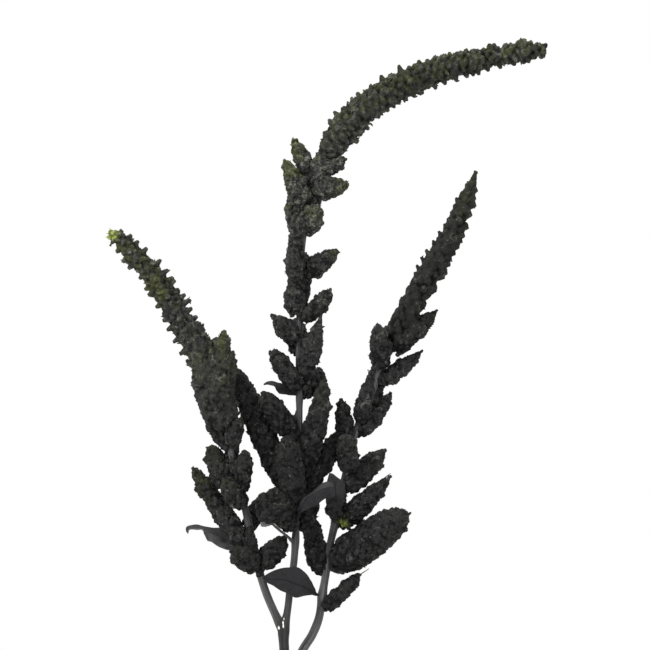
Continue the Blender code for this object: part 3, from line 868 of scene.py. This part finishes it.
def headRoute(head):
    start = atHeight(stemRoutes[head.stem], head.base)
    way = Vector(head.tip) - start
    side = Vector((-way.z, 0, way.x)).normalized()
    elbow = start + way * 0.45 - Vector((0, 0, headLook["droop"] * way.length)) + side * head.bend
    return bentRoute(start, elbow, start + way)


def addLump(bm, place, ahead, outward, size, lean, peak, twist=0.0):  # peak draws its outer side to a point
    out = (outward + ahead * lean).normalized()
    along = (ahead - out * ahead.dot(out)).normalized()
    along = along * math.cos(twist) + out.cross(along) * math.sin(twist)
    part = bmesh.new()
    made = bmesh.ops.create_icosphere(part, subdivisions=2, radius=1)["verts"]
    for vert in made:
        rise = max(0, vert.co.z)
        vert.co = Vector((vert.co.x * (1 - 0.45 * peak * rise), vert.co.y * (1 - 0.45 * peak * rise),
                          vert.co.z * (1 + peak * rise**3)))
    bmesh.ops.transform(part, matrix=basisAt(place, along.cross(out), along, out, size), verts=made)
    gather(bm, part)


def addFinger(bm, place, direction, hook, length, thick):  # a row of beads that bends as it goes
    part = bmesh.new()
    point = place.copy()
    way = direction.normalized()
    beads = max(3, round(length / 0.9))
    for bead in range(beads):
        radius = thick * (1 - 0.35 * bead / beads)
        bmesh.ops.create_icosphere(part, subdivisions=1, radius=radius, matrix=Matrix.Translation(point))
        way = (way + hook * (1.6 / beads)).normalized()
        point = point + way * length / beads
    gather(bm, part)


def addBeak(bm, place, direction, length, thick):  # a pointed bract
    part = bmesh.new()
    addCone(part, place + direction * length / 2, direction, length, thick, 0.12, 6)
    gather(bm, part)


def addTooth(bm, base, tip, thick):
    part = bmesh.new()
    addCone(part, (base + tip) / 2, (tip - base).normalized(), (tip - base).length, *thick, 8)
    gather(bm, part)


def addTeeth(bm, route, radiusAt, entry):
    if "tip" in entry:
        share, *tipThick = entry["tip"]
        addTooth(bm, pointAt(route, share), pointAt(route, 1), tipThick)
    back = entry["toothBack"] / routeLength(route)
    for turned, teeth, thick in zip((1, -1), entry["teeth"], entry["toothThick"]):
        for share, reach in teeth:
            for quarter in (0, 1):  # the second one stands in front or behind, half a gap on
                at = share + quarter * entry["toothGap"]
                point = pointAt(route, at)
                behind = pointAt(route, at - back)
                ahead = wayAt(route, at, 0.01)
                side = ahead.cross(Vector((0, turned, 0))).normalized()
                if quarter:
                    side = ahead.cross(side)
                radius = radiusAt(at)
                out = reach - quarter * entry["toothShort"] * (reach - radius)
                root = behind + side * max(0.5, radius - entry["toothRoot"])
                addTooth(bm, root, point + side * out, thick)


def addCore(bm, route, radiusAt, shrink):
    count = max(8, round(routeLength(route) / 2.5))
    sweep(bm, evenRoute(route, count), lambda share: max(1.1, radiusAt(share) - shrink), 14)


def spiral(route, places, radiusAt, spacing, wobble, rng):  # spots that cover a body evenly
    steps = len(places) - 1
    areas = [radiusAt(i / steps) for i in range(steps + 1)]
    lumps = round(math.tau * sum(areas) / (steps + 1) * routeLength(route) / (spacing**2 * lumpCover))
    turn = rng.uniform(0, math.tau)
    reached = 0
    for i, area in enumerate(areas):
        reached += area / sum(areas) * lumps
        while reached >= 1:
            reached -= 1
            turn += goldenAngle + (rng.uniform(-wobble, wobble) if wobble else 0)
            share = clamp((i + rng.uniform(-0.5, 0.5)) / steps)
            point, ahead, across, third = places[round(share * steps)]
            yield share, point, ahead, across * math.cos(turn) + third * math.sin(turn)


def growHead(bm, head, rng):
    route = headRoute(head)
    radiusAt = headRadius(head)
    addCore(bm, route, radiusAt, headLook["core"])
    places = routeFrames(evenRoute(route, headLook["steps"]))
    for share, point, ahead, outward in spiral(route, places, radiusAt, headLook["spacing"], 0, rng):
        if share < headLook["bareFoot"]:
            continue
        scale = rng.uniform(*headLook["scales"]) * min(1, 0.45 + radiusAt(share) / 9)
        size = [part * scale * rng.uniform(*headLook["uneven"]) for part in headLook["lump"]]
        radius = max(0.3, radiusAt(share) - headLook["sink"] + rng.uniform(-0.45, 0.3))
        peak = rng.choice(headLook["peaks"])
        addLump(bm, point + outward * radius, ahead, outward, size, headLook["lean"], peak)
        if rng.random() < headLook["beaks"]:
            way = (outward * rng.uniform(0.5, 1.0) + ahead * rng.uniform(0.4, 1.0)).normalized()
            base = point + outward * (radius + size[2] * 0.4)
            addBeak(bm, base, way, rng.uniform(*headLook["beakLength"]), rng.uniform(*headLook["beakThick"]))
    return route, Growth(radiusAt, headLook["proud"], head.olive, 0, False, True)


def growSpike(bm, entry, rng):
    route = evenRoute(smoothRoute(entry["points"]), entry["steps"])
    radiusAt = spikeRadius(entry["widths"], entry["proud"])
    addCore(bm, route, radiusAt, entry["core"])
    addTeeth(bm, route, radiusAt, entry)
    spots = spiral(route, routeFrames(route), radiusAt, entry["spacing"], entry["wobble"], rng)
    for share, point, ahead, outward in spots:
        radius = radiusAt(share)
        scale = rng.uniform(*entry["scales"]) * min(1.05, 0.35 + 1.4 * radius / entry["widths"][3])
        size = [part * scale for part in entry["lump"]]
        place = point + outward * max(0, radius - entry["sink"] * scale)
        twist = rng.uniform(-entry["twist"], entry["twist"])
        addLump(bm, place, ahead, outward, size, entry["lean"], rng.choice(entry["peaks"]), twist)
        if rng.random() < entry["fingers"]:
            way = outward + ahead * rng.uniform(-0.3, 0.5)
            hook = ahead * rng.uniform(-0.5, 0.7)
            base = point + outward * (radius + 0.2)
            length = rng.uniform(*entry["fingerLength"])
            addFinger(bm, base, way, hook, length, rng.uniform(*entry["fingerThick"]))
        if rng.random() < entry["beaks"]:
            length, thick = [part * rng.uniform(0.75, 1.3) for part in entry["beakSize"]]
            way = (outward + ahead * rng.uniform(0.0, 0.9)).normalized()
            base = point + outward * (radius - 0.4) + ahead * size[1] * 0.3
            addBeak(bm, base, way, length, thick)
    return route, Growth(radiusAt, entry["proud"], entry["green"], entry["lime"], entry["upper"], False)


def sproutsOf(node, thin):
    for start, end, thick in sprouts.get(node, []):
        if (thick < thinSprout) == thin:
            yield Vector(start), Vector(end) - Vector(start), thick


def nearestOf(routes):  # finds the nearest place on any of the routes: which one, and how far along
    tree = kdtree.KDTree(sum(len(route) for route in routes))
    known = []
    for which, route in enumerate(routes):
        for i, point in enumerate(route):
            tree.insert(point, len(known))
            known.append((which, i / (len(route) - 1), point))
    tree.balance()
    return lambda place: known[tree.find(place)[1]]


def greenAt(place, normal, share, growth, patches, tint):
    green = growth.green * softStep(0.55, 0.97, share)
    lime = growth.lime * softStep(0.965, 1.0, share)
    # painted light from above: where the skin faces up it is greener and a little lighter
    if growth.upper:
        green = growth.green * softStep(-0.6, 0.7, normal.z + 0.35 * share)
    patchy = 0.85 + 0.9 * noise.noise(place / 5)
    for middle, reach, moreGreen, moreLime in patches:
        away = (place - Vector(middle)).length / reach
        if away < 1.4:
            near = clamp(1.4 - away + 0.5 * noise.noise(place * 0.6))
            green = max(green, moreGreen * near)
            lime = max(lime, moreLime * near * near)
    return clamp((green + tint) * patchy), clamp(lime)


def paintHead(bm, skin, levels, growths, nearest):  # raises the grain and paints what the look reads
    layers = {name: floatLayer(bm, name) for name in ("green", "lime", "paintedLight", "tone", "bare")}
    bm.verts.ensure_lookup_table()
    middle = sum((vert.co for vert in bm.verts), Vector()) / len(bm.verts)
    reach = max((vert.co - middle).length for vert in bm.verts)
    patches = [entry for entry in greenPlaces if (Vector(entry[0]) - middle).length < reach + entry[1] * 1.4]
    for vert in bm.verts:
        place = vert.co.copy()
        which, share, onRoute = nearest(place)
        growth = growths[which]
        near = noise.voronoi(place / skin["grain"])[0]
        grain = 1 - min(1, (near[0] / skin["grainWidth"]) ** 2)
        swell = noise.noise(place / skin["swell"])
        opened = softStep(0.0, 0.12, share) if growth.stalked else 1
        lift = (skin["grainHeight"] * (grain - 0.35) + skin["swellHeight"] * swell) * (0.3 + 0.7 * opened)
        vert.co = place + vert.normal * lift
        tone, tint = levelAt(levels, place.z)
        green, lime = greenAt(place, vert.normal, share, growth, patches, tint)
        # painted shade in the hollows between the lumps, and painted light on the grain and the swells
        depth = (place - onRoute).length - growth.radiusAt(share)
        creviceShade = skin["creviceShade"] * softStep(-growth.proud * 0.6, growth.proud * 0.9, depth)
        paintedLight = creviceShade + skin["grainShade"] * grain + skin["paintedLightBase"] + skin["swellShade"] * swell
        vert[layers["green"]] = green
        vert[layers["lime"]] = lime
        vert[layers["paintedLight"]] = clamp(paintedLight)
        vert[layers["tone"]] = tone * (1 + skin["patchy"] * noise.noise(place / skin["patch"]))
        for bare, width in barePlaces:
            away = (place - Vector(bare)).length / width + 0.3 * noise.noise(place * 0.7)
            vert[layers["bare"]] = max(vert[layers["bare"]], softStep(1.2, 0.7, away))


def makeHead(node, material):
    rng = random.Random(node)
    group = next((entry for start, entry in groupSkins.items() if node.startswith(start)), {})
    skin = {**headLook, **group, **spikes.get(node, {})}
    levels = next(entry for start, entry in tones.items() if node.startswith(start))
    bm = bmesh.new()
    grown = [growSpike(bm, spikes[node], rng)] if node in spikes else []
    grown += [growHead(bm, head, rng) for head in heads.get(node, [])]
    routes, growths = zip(*grown)
    for start, way, thick in sproutsOf(node, thin=False):
        addFinger(bm, start, way, Vector(), way.length, thick)
    bm = fuse(bm, skin["voxel"])
    bmesh.ops.smooth_vert(bm, verts=bm.verts, factor=0.5, use_axis_x=True, use_axis_y=True, use_axis_z=True)
    bm.normal_update()
    nearest = nearestOf(routes)
    paintHead(bm, skin, levels, growths, nearest)
    bm.normal_update()
    addPoints(bm, nearest, routes, skin, rng)
    addSpines(bm, node)
    finishPiece(bm, node + "_florets", material, [node])


def addPoints(bm, nearest, routes, skin, rng):  # short pointed florets that stand out of it
    area = sum(face.calc_area() for face in bm.faces)
    names = ("green", "lime", "paintedLight", "tone")
    read = [floatLayer(bm, name) for name in names]
    points = bmesh.new()
    for name in names:
        floatLayer(points, name)
    part = None
    for number in range(round(area / skin["pointEvery"])):
        if number % pointsAtOnce == 0:
            if part:
                gather(points, part)
            part = bmesh.new()
            write = [floatLayer(part, name) for name in names]
        vert = bm.verts[rng.randrange(len(bm.verts))]
        which, share, onRoute = nearest(vert.co)
        route = routes[which]
        ahead = wayAt(route, share, 0.06)
        loose = Vector((rng.uniform(-1, 1), rng.uniform(-1, 1), rng.uniform(-1, 1)))
        way = (vert.normal * rng.uniform(0.5, 1.0) + ahead * rng.uniform(0.1, 0.9) + loose * 0.3).normalized()
        length = rng.uniform(*skin["pointLength"]) * (0.6 + 0.4 * rng.random())
        width = rng.uniform(*skin["pointWidth"])
        for new in addCone(part, vert.co + way * (length / 2 - 0.3), way, length, width, 0.05, 4, False):
            for source, target in zip(read, write):
                new[target] = vert[source]
            new[write[2]] = min(1, vert[read[2]] + rng.uniform(0.0, 0.25))  # their painted light is a little stronger, as they stand out
    gather(points, part)
    gather(bm, points)


def addSpines(bm, node):
    for start, way, thick in sproutsOf(node, thin=True):
        part = bmesh.new()
        paintedLight, tone = [floatLayer(part, name) for name in ("paintedLight", "tone")]
        for vert in addCone(part, start + way / 2, way.normalized(), way.length, thick, 0.22, 6):
            # a middling painted light and tone
            vert[paintedLight] = 0.45
            vert[tone] = 0.7
        gather(bm, part)


florets = {
    "deep": (0.0080, 0.0080, 0.0083),
    "coal": (0.029, 0.029, 0.0292),
    "pale": (0.108, 0.108, 0.104),
    "deepOlive": (0.0145, 0.0162, 0.0068),
    "olive": (0.043, 0.047, 0.020),
    "paleOlive": (0.122, 0.129, 0.074),
    "lime": (0.21, 0.25, 0.06),
    "paintedGlint": (0.16, 0.16, 0.15),
    "fibreHighlight": (0.17, 0.17, 0.16),
    "bare": (0.125, 0.125, 0.13),
}


def makeFlorets():
    look = Finish("dryFlorets")
    place = look.place()
    paintedLight, tone, green, lime = [look.painted(name) for name in ("paintedLight", "tone", "green", "lime")]
    mottle = look.cloud(place, 5.5, 3.0)
    speck = look.cloud(place, 1.3, 2.0, 0.6)
    # painted light and shade: lit mixes the painted light on the mesh with random specks and mottling; the
    # deep colour shows where it is low, coal above it, and pale as a painted highlight where it is highest
    lit = paintedLight * 0.85 + (speck - 0.5) * 0.8 + (mottle - 0.5) * 0.7
    raised = look.between(lit, 0.05, 0.55)
    brightest = look.between(lit * (0.55 + tone * 0.45), 0.5, 1.0)
    olive = look.layered(florets["deepOlive"], (florets["olive"], raised), (florets["paleOlive"], brightest))
    greened = look.between(green + (mottle - 0.5) * 0.35, 0.0, 0.85)
    limed = look.between(lime * (0.55 + speck * 0.9), 0.15, 0.9)
    # painted highlights: thin pale lines along the fibres, shown where the painted light is up
    strand = abs(look.cloud(place, 7, 1.0) - 0.5)
    fibreHighlights = (1 - look.between(strand, 0.006, 0.03)) * look.between(look.cloud(place, 8, 1.0), 0.5, 0.62)
    # painted glints: small pale flecks where the painted light is strongest
    paintedGlint = look.between(look.cloud(place, 2.6, 2.0, 0.7), 0.66, 0.74) * look.between(paintedLight, 0.45, 0.8)
    colour = look.layered(
        florets["deep"],
        (florets["coal"], raised),
        (florets["pale"], brightest),
        (olive, greened),
        (florets["lime"], limed * (0.2 + raised * 0.8)),
        (florets["fibreHighlight"], fibreHighlights * raised * 0.5),
        (black, (1 - tone) * (1 - limed)),
        (florets["paintedGlint"], paintedGlint * 0.5),
        (florets["bare"], look.painted("bare") * (0.45 + speck * 0.7)),
    )
    rough = 0.82 + (speck - 0.5) * 0.2
    normal = look.bump(speck * 0.6 + look.cloud(place, 0.6, 1.0) * 0.4, 0.6, 0.5 * mm)
    look.shade(Base_Color=colour, Roughness=rough, Normal=normal, Specular_IOR_Level=0.08)
    return look.material


dryFlorets = makeFlorets()
for node in sorted({*heads, *spikes}):
    makeHead(node, dryFlorets)
print("heads and spikes made")

# Leaves: a thin blade stretched between two edges and folded at its rib, each drawn from stem to tip

leaves = {
    "leaf_low": {
        "upper": [(24, 8, 311.6), (21.7, 3.9, 313.1), (20.6, -0.7, 317.4), (18.6, -5.6, 322.1),
            (15.3, -8, 326.6), (12, -9.6, 330.4), (8.3, -11.4, 332.8), (2.4, -12.9, 332.7),
            (-3, -14.6, 332.2), (-9.6, -16.5, 330.3), (-15.6, -18.6, 327.1), (-16.9, -21, 325.1)],
        "rib": [(24, 8, 310.7), (22.1, 1.5, 311.9), (17, -5.2, 316.1), (12, -10.7, 318.5),
            (5.7, -12.9, 320.9), (0.9, -15.1, 323.1), (-4.3, -16.6, 323.9), (-7.7, -18, 323.9),
            (-13.2, -19.5, 324.2), (-17.2, -21, 324.8)],
        "lower": [(24, 8, 309.8), (21.7, 1.5, 310.5), (19, -4.9, 311.6), (13.6, -11.1, 311.4),
            (8.7, -14.5, 310.2), (5.4, -16.6, 310.7), (0, -18.4, 313.7), (-4.3, -19.4, 315.8),
            (-7.9, -20.1, 318.3), (-9.6, -20.7, 319.6), (-14.5, -20.9, 321.6), (-16.9, -21, 324.5)],
        "pale": (0.1, 0.16), "wave": 0.5,
    },
    "leaf_left": {
        "upper": [(-23.4, -10, 347.2), (-34.4, -6.5, 352.9), (-41.2, -3.5, 357.2), (-47.2, -0.8, 360.8),
            (-55.5, 0.5, 361.5), (-63, 1.3, 361.9), (-68.3, 1.8, 362.7), (-72.8, 1, 362.7),
            (-74.8, -0.3, 361.5), (-74.5, -2, 359), (-73.7, -4, 357.7)],
        "rib": [(-23.4, -10, 346.3), (-32.1, -8.1, 347), (-41.1, -6.3, 349.8), (-45.9, -4.8, 353.1),
            (-54.6, -4, 357.6), (-62.1, -3.3, 360.9), (-68.1, -3.2, 361.4), (-72.3, -3.4, 361.4),
            (-73.7, -3.7, 360.2), (-73.4, -4, 357.5)],
        "lower": [(-23.4, -10, 345.4), (-32, -10, 344.1), (-42.5, -9.7, 344.8), (-47.5, -9.2, 346.4),
            (-52.5, -8.8, 349), (-56, -8.6, 351), (-59.2, -8.2, 351.7), (-61.4, -7.5, 356.6),
            (-62.6, -7.2, 360.4), (-68, -6.8, 360.1), (-71.6, -6.1, 359.9), (-72.4, -5.2, 358.8),
            (-73.1, -4, 357.4)],
        "pale": (0.15, 0.95), "wave": 0.6,
    },
    "leaf_middle": {
        "upper": [(4.9, -8, 355.2), (6.5, -10.6, 361.3), (7.2, -13.4, 369.6), (9.1, -15.7, 376.5),
            (10.5, -18, 382.8), (18.1, -20.5, 388.6), (23.8, -22.3, 393.9), (28.5, -23.6, 396.8),
            (32.2, -25.2, 397.3), (35.2, -27, 395.6)],
        "rib": [(5.3, -8, 354.4), (7, -12, 361.4), (8.2, -16, 369.8), (11, -18.9, 377.4),
            (14.4, -21.7, 383.1), (18.1, -24.2, 386.5), (26.3, -25.1, 391.2), (34.5, -26.1, 393.2),
            (35.9, -27, 393.3)],
        "lower": [(5.9, -8, 353.7), (7.9, -12.7, 361.4), (9.3, -17.2, 369.8), (11.4, -20.6, 374.1),
            (16.5, -23.4, 376.8), (23.2, -25.9, 380.3), (26.5, -27.2, 383), (30.7, -27.4, 385.7),
            (34.5, -27.4, 388.9), (36.1, -27, 391.9)],
        "pale": (0.42, 0.0), "wave": 0.4,
    },
    "leaf_upright": {
        "upper": [(36.8, 8, 367.1), (34.9, 3, 371.9), (31.1, -1.9, 377.3), (30, -6, 384.3),
            (30, -10.3, 391.2), (31, -13.7, 397.3), (32.3, -17, 403)],
        "rib": [(37.3, 8, 367.1), (37.2, 1.3, 374.9), (37.1, -4.5, 384.2), (36.7, -9.5, 392.6),
            (35, -13.7, 398.8), (32.8, -17, 403.2)],
        "lower": [(38, 8, 367.1), (40.5, 5.1, 374), (43.7, 1.9, 382.4), (44.2, -1.1, 390),
            (43.2, -4, 395.4), (41.4, -7.3, 397.8), (38.8, -10.6, 399.7), (35.2, -13.6, 402.7),
            (33.2, -17, 403.2)],
        "pale": (0.45, 0.45), "wave": 0.4,
    },
    "leaf_narrow": {
        "upper": [(7.5, -1, 464.3), (3, 0.9, 466.8), (-2.3, 1.9, 469), (-6.8, 2, 470.2),
            (-10.5, 2.2, 470.8), (-13.5, 1.6, 471), (-16.5, 0, 470)],
        "rib": [(7.5, -1, 462.5), (3, -1.3, 463.8), (-2.2, -1.7, 465.8), (-6.7, -2, 468),
            (-10.5, -1.3, 469.5), (-13.5, -0.7, 470), (-16.8, 0, 469.4)],
        "lower": [(7.5, -1, 460.7), (3, -2.6, 460.9), (-0.9, -3.8, 461.2), (-4.7, -4.6, 461.9),
            (-7.4, -5, 464.3), (-8.9, -4.3, 467.3), (-11.2, -3.2, 468.3), (-13.5, -1.8, 468.8),
            (-16.4, 0, 468.6)],
        "pale": (0.0, 0.0), "wave": 0.3,
    },
}
leafLook = {
    "rows": 56,
    "columns": 18,
    "thickness": 0.5,
    "fold": 1.3,
    "veins": 8,
    "ripples": 19,  # radians along the blade
    "crease": 0.1,
    "blade": (0.0105, 0.0104, 0.0120),
    "pale": (0.043, 0.043, 0.044),
    "dark": (0.0032, 0.0032, 0.0040),
    "torn": (0.40, 0.39, 0.36),
    "tears": [((-9.8, -17, 320.6), 1.1), ((-61.9, -8, 360.6), 0.9)],
}


def makeBlade():
    look = Finish("dryLeaf")
    place = look.place()
    side = abs(look.painted("across"))
    ribShadeBand = 1 - look.between(side, 0.03, 0.1)
    slant = (look.painted("along") * leafLook["veins"] - side * 1.1) * math.tau
    wave = look.node("ShaderNodeMath", {"operation": "SINE"}, {0: slant + look.cloud(place, 8) * 2})
    veined = look.between(wave, 0.72, 0.98) * look.between(side, 0.05, 0.2)
    blotch = look.cloud(place, 7, 3.0)
    fine = look.cloud(place, 1.0)
    colour = look.layered(
        leafLook["blade"],
        (scaled(leafLook["blade"], 0.65), look.between(blotch, 0.35, 0.7)),
        (leafLook["pale"], look.painted("pale") * look.between(blotch + side * 0.15, 0.3, 0.62)),
        (leafLook["dark"], veined * 0.2),
        # painted shade: a dark band along the rib, where the blade folds
        (leafLook["dark"], ribShadeBand * 0.8),
        (leafLook["pale"], look.between(fine, 0.6, 0.72) * 0.25),
        (leafLook["torn"], look.painted("torn")),
    )
    normal = look.bump(0.6 - ribShadeBand * 0.6 - veined * 0.25 + fine * 0.25, 0.6, 0.4 * mm)
    look.shade(Base_Color=colour, Roughness=0.55 + blotch * 0.2, Normal=normal, Specular_IOR_Level=0.15)
    return look.material


def makeLeaf(node, entry, material):
    count = leafLook["rows"]
    upper, rib, lower = [evenRoute(smoothRoute(entry[name]), count) for name in ("upper", "rib", "lower")]
    bm = bmesh.new()
    bmesh.ops.create_grid(bm, x_segments=leafLook["columns"], y_segments=count, size=1)
    layers = {name: floatLayer(bm, name) for name in ("across", "along", "pale", "torn")}
    for vert in bm.verts:
        across = vert.co.x
        share = (vert.co.y + 1) / 2
        i = round(share * count)
        middle = rib[i]
        rim = upper[i] if across < 0 else lower[i]
        ahead = (rib[min(count, i + 1)] - rib[max(0, i - 1)]).normalized()
        out = ahead.cross(lower[i] - upper[i]).normalized()
        half = (rim - middle).length
        fold = leafLook["fold"] * min(1, half / 6) * (across**2 - 0.4)
        start = 2 if across > 0 else 0  # the two halves ripple out of step
        wave = math.sin(share * leafLook["ripples"] + start)
        ripple = entry["wave"] * across**2 * wave * min(1, half / 4)
        vein = math.sin((share * leafLook["veins"] - abs(across)) * math.tau)
        crease = leafLook["crease"] * min(1, half / 5) * vein
        vert.co = middle.lerp(rim, abs(across)) + out * (fold + ripple + crease * abs(across))
        vert[layers["across"]] = across
        vert[layers["along"]] = share
        vert[layers["pale"]] = entry["pale"][0 if across < 0 else 1]
        for place, reach in leafLook["tears"]:
            away = (vert.co - Vector(place)).length / reach
            vert[layers["torn"]] = max(vert[layers["torn"]], clamp(1.5 - away))
    bmesh.ops.recalc_face_normals(bm, faces=bm.faces)
    bmesh.ops.solidify(bm, geom=bm.faces[:], thickness=leafLook["thickness"])
    finishPiece(bm, node + "_blade", material, [node])


dryLeaf = makeBlade()
for node, entry in leaves.items():
    makeLeaf(node, entry, dryLeaf)
print("leaves made")

# Studio: pale floor, white world and soft lights

studio = {
    "floor": (0.80, 0.79, 0.77),
    "floorHalf": 2.4,
    "lights": [  # name, place, size and power, in metres and watts
        ("key", (-1.7, -1.6, 2.1), 1.5, 90), ("fill", (2.0, -1.8, 1.0), 1.6, 14),
        ("top", (0.3, 0.5, 2.4), 1.2, 40),
    ],
    "lightsFace": (0.03, 0, 0.45),
}


def makeFloor():
    bm = bmesh.new()
    bmesh.ops.create_grid(bm, x_segments=1, y_segments=1, size=studio["floorHalf"])
    look = Finish("paleFloor")
    look.shade(Base_Color=studio["floor"], Roughness=0.9)
    mesh = toMesh(bm, "studio_floor")
    mesh.materials.append(look.material)
    addObject("studio_floor", mesh)


def makeLights():
    for name, place, size, power in studio["lights"]:
        data = bpy.data.lights.new(name, "AREA")
        data.shape = "DISK"
        data.size = size
        data.energy = power
        light = addObject(name, data)
        light.location = place
        way = Vector(studio["lightsFace"]) - Vector(place)
        light.rotation_euler = way.to_track_quat("-Z", "Y").to_euler()
    world = bpy.data.worlds.new("studio")
    world.use_nodes = True
    background = world.node_tree.nodes["Background"].inputs
    background["Color"].default_value = (1, 1, 1, 1)
    background["Strength"].default_value = 1
    bpy.context.scene.world = world
    bpy.context.scene.view_settings.view_transform = "Standard"


makeFloor()
makeLights()
print("studio made")
